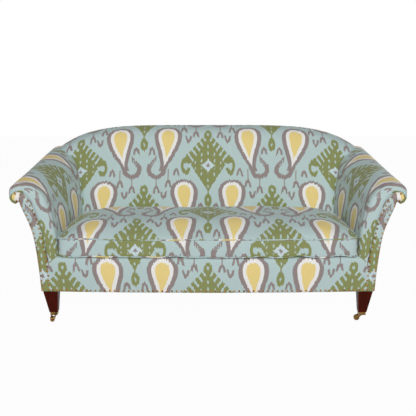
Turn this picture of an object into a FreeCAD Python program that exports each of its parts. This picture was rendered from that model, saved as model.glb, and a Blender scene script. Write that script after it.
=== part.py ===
"""English roll-arm sofa on brass castors, built as its maker would build it.

Units are millimetres. +Z is up, X runs along the seat and -Y faces the sitter's knees.
The origin is on the floor, under the middle of the sofa's outer box.
"""

import FreeCAD
import Part
import math
import os

V = FreeCAD.Vector

# Overall sizes
inside_arm = 711.0        # half the seat's width at the arm fronts, at the deck
seat_back = 520.0         # from the arm fronts back to the inside back, at the deck
back_reach = 300.0        # from there to the back of the rolled top
front = 13.6 - (seat_back + back_reach) / 2     # plane of the arm fronts
base_under = 163.0        # underside of the covered frame above the floor
clear = 0.3               # gap left between a soft piece and what it lies against
runs_per_arc = 5          # straight runs that stand for an arc in a soft pad's sections

# Arms, as they stand at the front: they toe in and rise towards the back.
# Across the sofa they are measured outwards from the inside arm.
toe_in = 58.0             # how far each arm leans inwards over the arm run
arm_rise = 60.0           # how far the roll climbs over the same run
arm_run = 724.0           # length over which both are measured
arm_end = seat_back + 222.0   # depth of the roll's far end
roll_out = 213.0          # widest point of the roll
roll_crown = 684.0
roll_bottom = roll_crown - 94.0
arm_foot = 262.0          # lower edge of the inside arm
front_edge_radius = 14.0  # soft edge round the front of the arm
outside_skin = 4.0        # outside panels: cloth on wadding and card
end_cap_thick = 4.0

# Facing that closes the front of each arm
facing_thick = 5.0
facing_foot_in = inside_arm + 36.0
facing_foot_out = facing_foot_in + 45.0
eye_x = roll_out - 38.0   # centre of the scroll
eye_z = roll_crown - 63.0
eye_radius = 23.0
post_thick = 28.0         # shaped board behind the facing

# Back: its depths are measured from the inside back, at the deck
back_half = inside_arm + 94.0     # half the length of the rolled top
back_crown = 860.0
arch_drop = 117.0         # how far the top falls from the middle to each end
arch_power = 5.0
back_fall_start = 420.0   # below this height the back isn't arched
back_roll_bottom = back_crown - 116.0
back_stations = (0.0,) + tuple(back_half - inset for inset in (555.0, 385.0, 265.0, 165.0, 85.0, 30.0, 0.0))
back_skin_foot = 210.0    # the outside back's lower edge
back_post_x = inside_arm - 4.0
back_post_foot = 156.0    # the posts' front face at the seat rails
back_post_rake = 0.09     # how far that face leans back for each unit of height
upright_x = 232.0
back_tuck_top = 345.0
pad_rear = 54.0           # rear face of the stuffed back, half way up
top_rail_half = back_half - 5.0
rail_meeting = 0.1        # the arm's top rail stops this far short of the back's

# Seat frame
rail_high = 90.0
rail_thick = 32.0
border_thick = 5.0        # front border over the rail
border_deep = 33.0        # stuffed edge above the rail, as deep as the arm post behind the facing
bow = 22.0                # the front rail's bulge in its middle
web_thick = 0.8
web_wide = 50.0
dust_thick = 1.0
leg_hole_gap = 2.0        # room round each leg in the cloth under the seat
rail_under = base_under + dust_thick + 2 * web_thick + 0.4
rail_top = rail_under + rail_high
deck_top = 333.0          # what the loose cushion lies on
deck_thick = 32.0
canvas_thick = 2.0

# Seat springs
seat_spring_rows = 3
seat_spring_columns = 5
back_spring_rows = 2
back_spring_columns = 4
spring_wire = 4.0
spring_radius = 42.0
spring_waist = 27.0
seat_spring_turns = 3.0
back_spring_turns = 2.5
spring_steps = 6          # straight lengths of wire in one turn

# Loose cushion
cushion_edge = 89.0       # height of its boxed border
cushion_crown = 56.0      # how far the filling stands above the border
cushion_corner = 34.0
cushion_gap = 2.8         # room between the cushion and the arms and back
pipe_radius = 3.0
cushion_wall = 3.0        # cloth and its lining

# Legs and castors
leg_top = 72.0
leg_foot = 40.0
castor_high = 47.0        # floor to the shoulder of the leg
cup_wall = 2.2
cup_side = 34.0
cup_floor = 31.0          # underside of the cup
wheel_radius = 14.0
wheel_wide = 14.0
wheel_trail = 24.0        # wheel's axle from the swivel's axis
axle_radius = 2.5
pivot_radius = 3.0
running = 0.06            # clearance of a shaft in its hole
pin_sides = 16            # flats that stand for a small pin's or bore's round
fork_thick = 2.4
fork_gap = 0.7
front_leg = (inside_arm + 40.0, 44.0)     # middle of the leg's top: x and depth
back_leg = (inside_arm - 27.0, seat_back + 166.0)
leg_in = 7.0              # how far a front leg's foot stands in from its top
back_leg_rake = 42.0
spigot_foot = 37.0        # lower end of the leg inside its cup
pin_head = 5.0

# Brass nails
nail_radius = 4.6
nail_high = 2.2
nail_pitch = 22.5

parts = {}


def at_depth(depth):
    return front + depth


def closed_wire(start, steps, runs=0):
    """A wire from start through steps: (point,) is a straight line, (middle, point) an arc.

    With runs, each arc is drawn as that many straight runs, so that lofts of soft pads have plain facets.
    """
    edges = []
    here = start
    for step in steps:
        there = step[-1]
        if len(step) == 1:
            edges.append(Part.makeLine(here, there))
        elif runs:
            points = Part.Arc(here, step[0], there).toShape().discretize(Number=runs + 1)
            edges += [Part.makeLine(a, b) for a, b in zip(points, points[1:])]
        else:
            edges.append(Part.Arc(here, step[0], there).toShape())
        here = there
    if here.distanceToPoint(start) > 1e-6:
        edges.append(Part.makeLine(here, start))
    return Part.Wire(edges)


def prism(wire, along):
    return Part.Face(wire).extrude(along)


def ruled(wires):
    return Part.makeLoft(wires, True, True)


def facets(rings):
    """A solid with plain facets between closed rings of points that correspond, ends included."""
    faces = [Part.Face(Part.makePolygon(ring + ring[:1])) for ring in (rings[0], rings[-1])]
    for lower, upper in zip(rings, rings[1:]):
        for i in range(len(lower)):
            j = (i + 1) % len(lower)
            corners = [lower[i], lower[j], upper[j], upper[i]]
            plane = (corners[1] - corners[0]).cross(corners[2] - corners[0])
            if abs(plane.normalize() * (corners[3] - corners[0])) < 1e-5:
                sides = [corners]
            else:
                sides = [[corners[0], corners[1], corners[2]], [corners[0], corners[2], corners[3]]]
            faces += [Part.Face(Part.makePolygon(side + side[:1])) for side in sides]
    solid = Part.Solid(Part.Shell(faces))
    return solid if solid.Volume > 0 else solid.reversed()


def box(x0, x1, y0, y1, z0, z1):
    return Part.makeBox(x1 - x0, y1 - y0, z1 - z0, V(x0, y0, z0))


def plate(corners, z0, z1):
    """A flat piece with straight sides, corners given as (x, y), from z0 to z1."""
    points = [V(x, y, z0) for x, y in corners]
    return prism(Part.makePolygon(points + points[:1]), V(0, 0, z1 - z0))


def mirrored(shape):
    return shape.mirror(V(0, 0, 0), V(1, 0, 0))


def add(name, shape):
    parts[name] = shape


def add_pair(name, right_shape):
    add("right_" + name, right_shape)
    add("left_" + name, mirrored(right_shape))


def share(value, low, high):
    return max(0.0, min(1.0, (value - low) / (high - low)))


# Arms

def arm_point(depth, x, z):
    """Where a point of the front section goes at a depth behind the arm fronts."""
    s = depth / arm_run
    return V(inside_arm + x - toe_in * s, at_depth(depth), z + arm_rise * s)


def along_arm(wire, start, stop):
    """A section at depth start, drawn along the arm's slanting line as far as depth stop."""
    return ruled([wire, wire.translated(arm_point(stop, 0, 0) - arm_point(start, 0, 0))])


# The soft outline from the seat up over the roll: x, z and the direction it faces
arm_outline = (
    (0.0, deck_top + 0.6, -1.0, 0.0), (3.0, 440.0, -1.0, 0.0), (17.0, 520.0, -1.0, 0.1),
    (roll_out - 172.0, roll_crown - 84.0, -0.9, 0.4), (roll_out - 134.0, roll_crown - 29.0, -0.7, 0.7),
    (roll_out - 102.0, roll_crown - 7.0, -0.4, 0.9), (roll_out - 64.0, roll_crown, 0.0, 1.0),
    (roll_out - 20.0, roll_crown - 10.0, 0.6, 0.8), (roll_out, roll_crown - 44.0, 1.0, 0.0),
    (roll_out - 10.0, roll_crown - 78.0, 0.8, -0.6), (roll_out - 36.0, roll_bottom, 0.0, -1.0),
)
top_rail_box = (roll_out - 79.0, roll_out - 29.0, roll_crown - 72.0, roll_crown - 29.0)
tuck_rail_box = (31.0, 56.0, deck_top - 48.0, deck_top - 7.0)


# where the pad's cloth ends under the roll
lip_x, lip_z = roll_out - 56.0, roll_bottom + 3.0


def soft_steps(place, inset=0.0):
    points = [place(x - nx * inset, z - nz * inset) for x, z, nx, nz in arm_outline]
    return [(points[i], points[i + 1]) for i in range(1, len(points) - 1, 2)]


def arm_hook(depth):
    """Section of the stuffed arm behind its front: a pad that hooks over the top rail."""
    def place(x, z):
        return arm_point(depth, x, z)
    x0, x1, z0, z1 = top_rail_box
    steps = [(place(arm_outline[0][0], arm_outline[0][1]),)] + soft_steps(place)
    inner = ((lip_x, lip_z), (lip_x, z0 - clear), (x1 + clear, z0 - clear), (x1 + clear, z1 + clear),
             (x0 - clear, z1 + clear), (roll_out - 124.0, roll_crown - 56.0), (51.0, 520.0), (32.0, 400.0),
             (28.0, arm_foot))
    steps += [(place(x, z),) for x, z in inner]
    return closed_wire(place(arm_outline[0][0], arm_foot), steps, runs_per_arc)


def arm_cap(depth, inset):
    """Full section at the arm's front, which is drawn in by inset for the soft edge."""
    def place(x, z):
        return arm_point(depth, x, z)
    first = arm_outline[0]
    steps = soft_steps(place, inset)
    steps += [(place(lip_x, lip_z + inset),), (place(59.0, first[1]),)]
    return closed_wire(place(first[0] + inset, first[1]), steps, runs_per_arc)


def facing_wire(depth, foot, outer_inset, edge_inset, runs=0):
    """Outline of the facing: a tall strip that ends in the scroll's eye."""
    def place(x, z):
        return V(inside_arm + x, at_depth(depth), z)
    o = outer_inset
    e = edge_inset
    r = eye_radius - e
    c = 0.7071 * r
    lean = share(foot, base_under, 470.0)
    foot_in = facing_foot_in - inside_arm + e + 14.0 * lean
    foot_out = facing_foot_out - inside_arm - o + 12.0 * lean
    return closed_wire(place(foot_in, foot), [
        (place(foot_out, foot),),
        (place(92.0 - o, 330.0), place(101.0 - o, 398.0)),
        (place(roll_out - 90.0 - o, 495.0), place(roll_out - 54.0 - o, roll_crown - 106.0)),
        (place(eye_x - c, eye_z - c),),
        (place(eye_x + 0.3827 * r, eye_z - 0.9239 * r), place(eye_x + r, eye_z)),
        (place(eye_x + c, eye_z + c), place(eye_x, eye_z + r)),
        (place(roll_out - 67.0 + e, roll_crown - 47.0 - e), place(roll_out - 90.0 + e, roll_crown - 73.0 - e)),
        (place(roll_out - 116.0 + e, roll_crown - 128.0), place(72.0 + e, 470.0)),
        (place(56.0 + e, 390.0), place(foot_in, foot)),
    ], runs)


outside_foot = facing_foot_out - inside_arm
outside_arm_line = ((roll_out - 55.0, roll_crown - 107.0), (roll_out - 90.0, 495.0), (101.0, 398.0), (89.0, 300.0),
                    (outside_foot, base_under), (outside_foot, 90.0))


def outside_arm_wire(depth):
    p = [arm_point(depth, x, z) for x, z in outside_arm_line]
    q = [arm_point(depth, x - outside_skin, z) for x, z in outside_arm_line]
    return closed_wire(p[0], [(p[1], p[2]), (p[3], p[4]), (p[5],), (q[5],), (q[4],), (q[3], q[2]), (q[1], q[0])],
                       runs_per_arc)


def back_block(x):
    """Section of everything from the inside back's surface rearwards, which the arms stop at."""
    def place(d, z):
        return back_point(x, d - clear, z + clear)
    far = back_reach + 80.0
    rear = back_outline[7]
    points = [place(depth, z) for depth, z in back_outline[:8]]
    arcs = [(points[i], points[i + 1]) for i in range(0, len(points), 2)]
    return closed_wire(place(0.0, 200.0), [
        (place(0.0, arm_foot - 1.0),), *arcs, (place(far, rear[1]),), (place(far, 200.0),),
    ], runs_per_arc)


def arm_bar(bar, start, stop, grow=0.0, rise=True):
    """A rail along the arm with a section of four corners, or that rail grown all round."""
    x0, x1, z0, z1 = bar
    corners = ((x0 - grow, z0 - grow), (x1 + grow, z0 - grow), (x1 + grow, z1 + grow), (x0 - grow, z1 + grow))
    points = [arm_point(start, x, z) for x, z in corners]
    way = arm_point(stop, 0, 0) - arm_point(start, 0, 0)
    if not rise:
        points = [V(p.x, p.y, z) for p, (x, z) in zip(points, corners)]
        way.z = 0.0
    return prism(Part.makePolygon(points + points[:1]), way)


def biggest(shape):
    return sorted(shape.Solids, key=lambda solid: solid.Volume)[-1]


def make_arms():
    post_back = facing_thick + clear + post_thick
    depths = ((0.0, front_edge_radius), (0.3 * front_edge_radius, 0.3 * front_edge_radius),
              (front_edge_radius, 0.0))
    cap = ruled([arm_cap(depth, inset) for depth, inset in depths])
    cap = cap.fuse(along_arm(arm_cap(front_edge_radius, 0.0), front_edge_radius, post_back))
    pocket = prism(facing_wire(-1.0, 170.0, -12.0, -0.8), V(0, 60, 0))
    notch = box(inside_arm + roll_out - 79.0, inside_arm + roll_out - 53.4, at_depth(-1.0), at_depth(60.0),
                roll_bottom - 30.0, roll_bottom + 16.0)
    hook = along_arm(arm_hook(post_back), post_back, arm_end)
    block = ruled([back_block(x) for x in back_stations[3:] + (back_half + clear,)])
    add_pair("arm_pad", biggest(hook.fuse(cap.cut(pocket).cut(notch)).cut(block)))

    facing = prism(facing_wire(0.0, base_under + clear, 0.0, 0.0), V(0, facing_thick, 0))
    add_pair("arm_facing", facing)

    # the panel beside the post moves in and up along the arm
    outer_inset = outside_skin + clear + (toe_in + 0.7 * arm_rise) * post_back / arm_run
    outline = facing_wire(facing_thick + clear, rail_top, outer_inset, 1.5, runs_per_arc)
    post = prism(outline, V(0, post_thick, 0))
    add_pair("arm_front_post", post)

    add_pair("arm_top_rail", arm_bar(top_rail_box, post_back, top_rail_stop()))
    tuck_stop = post_front_depth(tuck_rail_box[2])
    add_pair("arm_tuck_rail", arm_bar(tuck_rail_box, post_back, tuck_stop, 0.0, False))

    start = facing_thick + clear
    panel = along_arm(outside_arm_wire(start), start, outside_arm_end)
    below = box(0.0, inside_arm + roll_out, at_depth(-10.0), at_depth(outside_arm_end + 100.0), 0.0, base_under)
    behind = ruled([behind_back(x) for x in back_stations[3:] + (back_half + 60.0,)])
    add_pair("outside_arm", biggest(panel.cut(below).cut(behind)))

    # The roll's rear end, beside the back
    cap_depth = arm_end + clear
    near = along_arm(arm_cap(cap_depth, 1.0), cap_depth, cap_depth + end_cap_thick)
    inside = box(0.0, back_half + 2 * clear, at_depth(arm_end - 40.0), at_depth(arm_end + 60.0), 300.0, 900.0)
    cap = near.cut(inside)
    parts["arm_rear_ends"] = Part.makeCompound([biggest(cap), mirrored(biggest(cap))])


# Back

def arch(x):
    """How far the back's top has fallen at x: a power curve, straight between the stations."""
    x = min(abs(x), back_half)
    for near, far in zip(back_stations, back_stations[1:]):
        if x <= far:
            low, high = [arch_drop * (station / back_half) ** arch_power for station in (near, far)]
            return low + (high - low) * (x - near) / (far - near)


def back_point(x, depth, z):
    return V(x, at_depth(seat_back + depth), z - arch(x) * share(z, back_fall_start, back_roll_bottom))


back_outline = (
    (4.0, 385.0), (22.0, 500.0), (50.0, 602.0), (back_reach - 214.0, back_crown - 160.0),
    (back_reach - 174.0, back_crown - 50.0), (back_reach - 96.0, back_crown),
    (back_reach - 28.0, back_crown - 18.0), (back_reach, back_crown - 66.0),
    (back_reach - 8.0, back_crown - 100.0), (back_reach - 34.0, back_roll_bottom),
)
back_top_rail_box = (back_reach - 95.0, back_reach - 46.0, back_crown - 93.0, back_crown - 44.0)
rear_rail_back = seat_back + back_skin_foot - outside_skin - clear
outside_line = ((back_reach - 50.0, back_roll_bottom - 4.0), (226.0, 600.0), (216.0, 420.0), (212.0, 290.0),
                (back_skin_foot, base_under))
outside_arm_end = seat_back + back_reach - 30.0


def top_rail_stop():
    """Depth at which the arm's top rail meets the back's."""
    return seat_back + back_top_rail_box[0] - rail_meeting


def post_front_depth(z):
    """Depth of the back posts' front face, a straight raked line, at a height."""
    return seat_back + back_post_foot + (z - rail_top) * back_post_rake


def back_outer_steps(x):
    p = [back_point(x, depth, z) for depth, z in back_outline]
    return [(p[i], p[i + 1]) for i in range(0, len(p), 2)]


def back_hook(x):
    """Section of the stuffed inside back, which rolls over the top rail."""
    d0, d1, z0, z1 = back_top_rail_box
    steps = back_outer_steps(x)
    inner = ((d1 - 1.0, back_roll_bottom + 3.0), (d1 - 1.0, z0 - 3.0), (d1 + clear, z0 - 3.0),
             (d1 + clear, z1 + clear), (d0 - clear, z1 + clear), (d0 - 45.0, back_crown - 70.0),
             (d0 - 89.0, back_crown - 160.0), (pad_rear, 500.0), (36.0, 385.0), (32.0, arm_foot))
    steps += [(back_point(x, depth, z),) for depth, z in inner]
    return closed_wire(back_point(x, 0.0, arm_foot), steps, runs_per_arc)


def stations():
    return [-x for x in back_stations[:0:-1]] + list(back_stations)


def behind_back(x):
    """Section of all that lies behind the outside back's inner face."""
    p = [back_point(x, depth - outside_skin - clear, z) for depth, z in outside_line]
    top = V(x, p[0].y, back_crown + 40.0)
    far = p[0].y + 300.0
    steps = [(p[1], p[2]), (p[3], p[4]), (V(x, p[4].y, 100.0),), (V(x, far, 100.0),), (V(x, far, top.z),)]
    return closed_wire(top, [(p[0],)] + steps, runs_per_arc)


def outside_back_wire(x):
    p = [back_point(x, depth, z) for depth, z in outside_line]
    q = [back_point(x, depth - outside_skin, z) for depth, z in outside_line]
    return closed_wire(p[0], [(p[1], p[2]), (p[3], p[4]), (q[4],), (q[3], q[2]), (q[1], q[0])], runs_per_arc)


def side_trim(gap):
    """What lies beyond the arm's outer side at the back corner, on the right."""
    start = seat_back - 40.0
    high = (roll_out - 26.0, roll_crown + 6.0)
    p = [arm_point(start, x - outside_skin - gap, z) for x, z in (high,) + outside_arm_line]
    far = [V(p[-1].x + 400.0, p[0].y, p[-1].z), V(p[-1].x + 400.0, p[0].y, p[0].z)]
    wire = closed_wire(p[0], [(p[1],), (p[2], p[3]), (p[4], p[5]), (p[6],), (far[0],), (far[1],)],
                       runs_per_arc)
    return along_arm(wire, start, seat_back + back_reach + 80.0)


def back_bar(bar, half, grow=0.0):
    """A rail along the back's arched top."""
    d0, d1, z0, z1 = bar
    corners = ((d0 - grow, z0 - grow), (d1 + grow, z0 - grow), (d1 + grow, z1 + grow), (d0 - grow, z1 + grow))
    ends = []
    for x in [-half] + [x for x in stations() if abs(x) < half - 1] + [half]:
        points = [back_point(x, depth, z) for depth, z in corners]
        ends.append(Part.makePolygon(points + points[:1]))
    return ruled(ends)


def upright(x0, x1, foot, rail_gap=0.0):
    """A raked upright from foot to the top rail, between the front line and the outside panel."""
    ends = []
    for x in (x0, x1):
        head = back_top_rail_box[2] - arch(x) - rail_gap
        rear = [back_point(x, depth - outside_skin - 3.5, z)
                for depth, z in ((outside_line[2][0] - 2.0, 345.0), outside_line[2], outside_line[1])]
        points = [V(x, at_depth(post_front_depth(foot)), foot), V(x, at_depth(rear_rail_back), foot)]
        points += [V(x, p.y, p.z) for p in rear]
        points += [V(x, at_depth(seat_back + back_reach - 62.0 - outside_skin), head),
                   V(x, at_depth(post_front_depth(head)), head)]
        ends.append(Part.makePolygon(points + points[:1]))
    return ruled(ends)


def make_back():
    pad = ruled([back_hook(x) for x in stations()])
    trim = side_trim(clear)
    rail = arm_bar(top_rail_box, seat_back - 120.0, top_rail_stop(), clear)
    tuck = arm_bar(tuck_rail_box, seat_back - 120.0, seat_back + back_post_foot + 24.0, clear, False)
    for cutter in (trim, rail, tuck):
        pad = pad.cut(cutter).cut(mirrored(cutter))
    add("back_pad", biggest(pad))

    panel = ruled([outside_back_wire(x) for x in stations()])
    edge = side_trim(-outside_skin)
    add("outside_back", biggest(panel.cut(edge).cut(mirrored(edge))))

    add("back_top_rail", back_bar(back_top_rail_box, top_rail_half))
    add_pair("back_post", upright(back_post_x - 22.0, back_post_x + 22.0, rail_top))
    pair = [upright(x - 18.0, x + 18.0, back_tuck_top) for x in (-upright_x, upright_x)]
    parts["back_uprights"] = Part.makeCompound(pair)
    y0 = at_depth(post_front_depth(back_tuck_top))
    half = back_post_x - 22.0
    tuck = box(-half, half, y0, y0 + 28.0, back_tuck_top - 40.0, back_tuck_top)
    add("back_tuck_rail", tuck)

    # The rolled top's ends, beside the arms
    x = back_half + clear
    wire = closed_wire(back_point(x, 0.0, arm_foot), back_outer_steps(x) + [
        (back_point(x, back_reach - 52.0, back_roll_bottom - 9.0),), (back_point(x, 120.0, arm_foot),)], runs_per_arc)
    cap = prism(wire, V(end_cap_thick, 0, 0))
    ahead = box(x - 5, x + 20, -500.0, at_depth(arm_end + 2 * clear + end_cap_thick), 0.0, 900.0)
    panel_top = outside_arm_line[0][1] + arm_rise * outside_arm_end / arm_run
    below = box(x - 5, x + 20, -500.0, 500.0, 0.0, panel_top + clear)
    cap = biggest(cap.cut(ahead).cut(below))
    parts["back_roll_ends"] = Part.makeCompound([cap, mirrored(cap)])


# Covered base

def bow_line(depth, z):
    """Three points of the front's bowed line, depth behind the border's face."""
    return [V(-facing_foot_in, at_depth(depth), z), V(0.0, at_depth(depth - bow), z),
            V(facing_foot_in, at_depth(depth), z)]


def bow_at(x):
    """How far the front stands forward of the arm fronts, on the arc through bow_line."""
    radius = (facing_foot_in ** 2 + bow ** 2) / (2 * bow)
    if abs(x) >= facing_foot_in:
        return 0.0
    return bow - radius + math.sqrt(radius ** 2 - x ** 2)


def side_x(depth, inset):
    """The base's half width at a depth behind the arm fronts."""
    return facing_foot_out - inset - toe_in * depth / arm_run


def front_border():
    def section(x):
        d = -bow_at(x)
        rear = border_thick + d
        step = rail_top + clear
        steps = [(V(x, at_depth(d), 306.0),),
                 (V(x, at_depth(d + 7.0), 325.0), V(x, at_depth(d + 24.0), deck_top),),
                 (V(x, at_depth(border_deep), deck_top),), (V(x, at_depth(border_deep), step),),
                 (V(x, at_depth(rear), step),), (V(x, at_depth(rear), base_under + clear),)]
        return closed_wire(V(x, at_depth(d), base_under + clear), steps, runs_per_arc)
    places = (facing_foot_in, facing_foot_in - 187.0, facing_foot_in - 374.0, 187.0)
    end_x = facing_foot_in + 23.0
    spans = [-end_x] + [-x for x in places] + [0.0] + list(places[::-1]) + [end_x]
    pad = ruled([section(x) for x in spans])
    end = prism(facing_wire(-60.0, 150.0, -12.0, -clear), V(0, 110, 0))
    tail = box(facing_foot_in + 8.0, facing_foot_in + 53.0, at_depth(-5.0), at_depth(60.0), 100.0, 400.0)
    for cutter in (end, tail):
        pad = pad.cut(cutter).cut(mirrored(cutter))
    return biggest(pad)


def make_base():
    add("front_border", front_border())

    skin = outside_skin + clear
    d0 = border_thick + 2 * clear
    d1 = d0 + 33.0
    ends = side_x(d0, skin), side_x(d1, skin)
    points = [V(-ends[1], at_depth(d1), rail_under), V(-ends[0], at_depth(d0), rail_under)]
    left, middle, right = bow_line(d0, rail_under)
    wire = closed_wire(points[0], [(points[1],), (left,), (middle, right), (V(ends[0], at_depth(d0), rail_under),),
                                   (V(ends[1], at_depth(d1), rail_under),)])
    add("front_seat_rail", prism(wire, V(0, 0, rail_high)))

    r0 = rear_rail_back - rail_thick
    back_ends = side_x(r0, skin), side_x(rear_rail_back, skin)
    add("back_seat_rail", plate([(-back_ends[0], at_depth(r0)), (back_ends[0], at_depth(r0)),
                                 (back_ends[1], at_depth(rear_rail_back)),
                                 (-back_ends[1], at_depth(rear_rail_back))], rail_under, rail_top))
    add_pair("seat_rail", plate([(side_x(d1, skin), at_depth(d1)), (side_x(r0, skin), at_depth(r0)),
                                 (side_x(r0, skin) - rail_thick, at_depth(r0)),
                                 (side_x(d1, skin) - rail_thick, at_depth(d1))], rail_under, rail_top))

    # Glued blocks in the frame's corners, over the legs
    arm = 78.0
    blocks = []
    for depth, way in ((d1, 1.0), (r0, -1.0)):
        x = side_x(depth, skin) - rail_thick
        tip = side_x(depth + way * arm, skin) - rail_thick
        corner = plate([(x, at_depth(depth)), (x - arm, at_depth(depth)), (tip, at_depth(depth + way * arm))],
                       rail_under, rail_top - 10.0)
        blocks += [corner, mirrored(corner)]
    parts["corner_blocks"] = Part.makeCompound(blocks)

    cloth = 6.0
    rear = seat_back + back_skin_foot - cloth
    points = [(-side_x(rear, cloth), rear), (-side_x(cloth, cloth), cloth), (side_x(cloth, cloth), cloth),
              (side_x(rear, cloth), rear)]
    dust = plate([(x, at_depth(depth)) for x, depth in points], base_under, base_under + dust_thick)
    half = leg_top / 2 + leg_hole_gap
    for x, depth in (front_leg, back_leg):
        hole = box(x - half, x + half, at_depth(depth - half), at_depth(depth + half), 100.0, 200.0)
        dust = dust.cut(hole).cut(mirrored(hole))
    add("dust_cover", dust)


# Seat over the springs

def seat_plan(front_depth, rear_depth, inset):
    near = inside_arm - 1.0 - toe_in * front_depth / arm_run - inset
    far = inside_arm - 1.0 - toe_in * rear_depth / arm_run - inset
    return [(-near, at_depth(front_depth)), (near, at_depth(front_depth)),
            (far, at_depth(rear_depth)), (-far, at_depth(rear_depth))]


def make_seat():
    d0 = border_deep + clear
    d1 = seat_back - 1.5
    deck_under = deck_top - deck_thick
    add("seat_deck", plate(seat_plan(d0, d1, 0.0), deck_under, deck_top))
    add("seat_canvas", plate(seat_plan(d0, d1, 2.0), deck_under - canvas_thick, deck_under))


# Webbing and springs

def spring(foot, axis, side, length, turns):
    """A waisted coil spring: one unbroken three-sided wire from foot along axis, that starts at side."""
    up = axis.cross(side)
    count = int(turns * spring_steps)
    half = spring_wire / 2
    rings = []
    for i in range(count + 1):
        t = i / count
        radius = spring_waist + (spring_radius - spring_waist) * (2 * t - 1) ** 2 - half
        angle = 2 * math.pi * turns * t
        out = side * math.cos(angle) + up * math.sin(angle)
        middle = foot + axis * (half + t * (length - spring_wire)) + out * radius
        rings.append([middle + out * a + axis * b for a, b in ((-half, -half), (half, -half), (0.0, half))])
    return facets(rings)


def spread(count, low, high):
    """Middles of count equal spaces between low and high."""
    step = (high - low) / count
    return [low + step * (i + 0.5) for i in range(count)]


def make_webs_and_springs():
    skin = outside_skin + clear
    half_web = web_wide / 2
    d0 = border_thick + clear + 5.0
    d1 = rear_rail_back - 5.0
    rows = spread(seat_spring_rows, border_deep, seat_back)
    columns = spread(seat_spring_columns, 71.0 - inside_arm, inside_arm - 71.0)
    low = rail_under - 2 * web_thick
    webs = []
    for x in columns:
        webs.append(box(x - half_web, x + half_web, at_depth(d0), at_depth(d1), low, low + web_thick))
    for depth in rows:
        reach = side_x(depth + half_web, skin) - 5.0
        webs.append(box(-reach, reach, at_depth(depth - half_web), at_depth(depth + half_web),
                        low + web_thick, rail_under))
    parts["seat_webbing"] = Part.makeCompound(webs)

    length = deck_top - deck_thick - canvas_thick - rail_under - 2 * clear
    coils = [spring(V(x, at_depth(depth), rail_under + clear), V(0, 0, 1), V(1, 0, 0), length, seat_spring_turns)
             for depth in rows for x in columns]
    parts["seat_springs"] = Part.makeCompound(coils)

    # The back's webs lie on the front of its uprights and rails
    lean = V(0, at_depth(post_front_depth(1000.0)) - at_depth(post_front_depth(0.0)), 1000.0).normalize()
    normal = V(0, -lean.z, lean.y)
    webs = []
    columns = spread(back_spring_columns, 131.0 - inside_arm, inside_arm - 131.0)
    heights = spread(back_spring_rows, 380.0, back_crown - 200.0)
    for x in columns:
        foot = V(x - half_web, at_depth(post_front_depth(310.0)), 310.0) + normal * (web_thick + 0.1)
        reach = (back_top_rail_box[2] - arch(x) + 30.0 - 310.0) / lean.z
        corners = [foot, foot + V(web_wide, 0, 0), foot + V(web_wide, 0, 0) + lean * reach, foot + lean * reach]
        webs.append(prism(Part.makePolygon(corners + corners[:1]), normal * web_thick))
    half = back_post_x + 15.0
    for z in heights:
        foot = V(-half, at_depth(post_front_depth(z)), z) + normal * 0.1 - lean * half_web
        corners = [foot, foot + V(2 * half, 0, 0), foot + V(2 * half, 0, 0) + lean * web_wide,
                   foot + lean * web_wide]
        webs.append(prism(Part.makePolygon(corners + corners[:1]), normal * web_thick))
    parts["back_webbing"] = Part.makeCompound(webs)

    coils = []
    for z in heights:
        start = V(0, at_depth(post_front_depth(z)), z) + normal * (2 * web_thick + 0.1 + clear)
        # where the pad's rear face is straight ahead of the spring's upper edge
        rear = seat_back + pad_rear + (z + spring_radius - 500.0) * (62.0 / 200.0)
        length = (start.y - at_depth(rear)) / -normal.y - 6.0
        for x in columns:
            coils.append(spring(V(x, start.y, start.z), normal, lean, length, back_spring_turns))
    parts["back_springs"] = Part.makeCompound(coils)


# Loose cushion

def cushion_wire(z, inset, runs=runs_per_arc):
    """The cushion's outline seen from above, drawn in by inset."""
    toe = toe_in / arm_run
    d0 = -4.0 + inset
    d1 = seat_back - cushion_gap - inset
    r = min(cushion_corner + 0.35 * inset, 0.4 * (d1 - d0))
    near = inside_arm - cushion_gap - inset - toe * d0
    far = inside_arm - cushion_gap - inset - toe * d1
    swell = bow * (1 - 1.6 * inset / 260.0) if inset < 160.0 else 0.3
    k = 0.2929 * r

    def p(x, d):
        return V(x, at_depth(d), z)
    start = p(-near + r, d0)
    return closed_wire(start, [
        (p(0.0, d0 - swell), p(near - r, d0)), (p(near - k, d0 + k), p(near - toe * r, d0 + r)),
        (p(far + toe * r, d1 - r),), (p(far - k, d1 - k), p(far - r, d1)), (p(-far + r, d1),),
        (p(-far + k, d1 - k), p(-far - toe * r, d1 - r)), (p(-near + toe * r, d0 + r),),
        (p(-near + k, d0 + k), start),
    ], runs)


def cushion_body(shrink, crown_steps, runs):
    """Boxed sides under a crowned top, whose rise and inset follow a quarter of an ellipse."""
    foot = deck_top + clear
    top = foot + cushion_edge
    reach = 225.0
    levels = [(foot + shrink, 5.0), (foot + cushion_edge / 2, 0.0), (top, 5.0)]
    for i in range(1, crown_steps + 1):
        angle = math.pi / 2 * i / (crown_steps + 0.5)
        rise = (cushion_crown - shrink) * math.sin(angle)
        levels.append((top + rise, 5.0 + reach * (1 - math.cos(angle))))
    wires = [cushion_wire(z, inset + shrink, runs) for z, inset in levels]
    return facets([[vertex.Point for vertex in wire.OrderedVertexes] for wire in wires])


def make_cushion():
    outer = cushion_body(0.0, 4, runs_per_arc)
    inner = cushion_body(cushion_wall, 2, 2)
    add("seat_cushion_cover", outer.cut(inner))
    add("seat_cushion_core", cushion_body(cushion_wall + clear, 2, 2))

    welts = []
    foot = deck_top + clear
    for z in (foot + 3.2, foot + cushion_edge - 1.0):
        ring = ruled([cushion_wire(z - pipe_radius, 3.0), cushion_wire(z, -1.5), cushion_wire(z + pipe_radius, 3.0)])
        welts.append(biggest(ring.cut(outer)))
    parts["seat_cushion_piping"] = Part.makeCompound(welts)


# Legs

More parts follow.
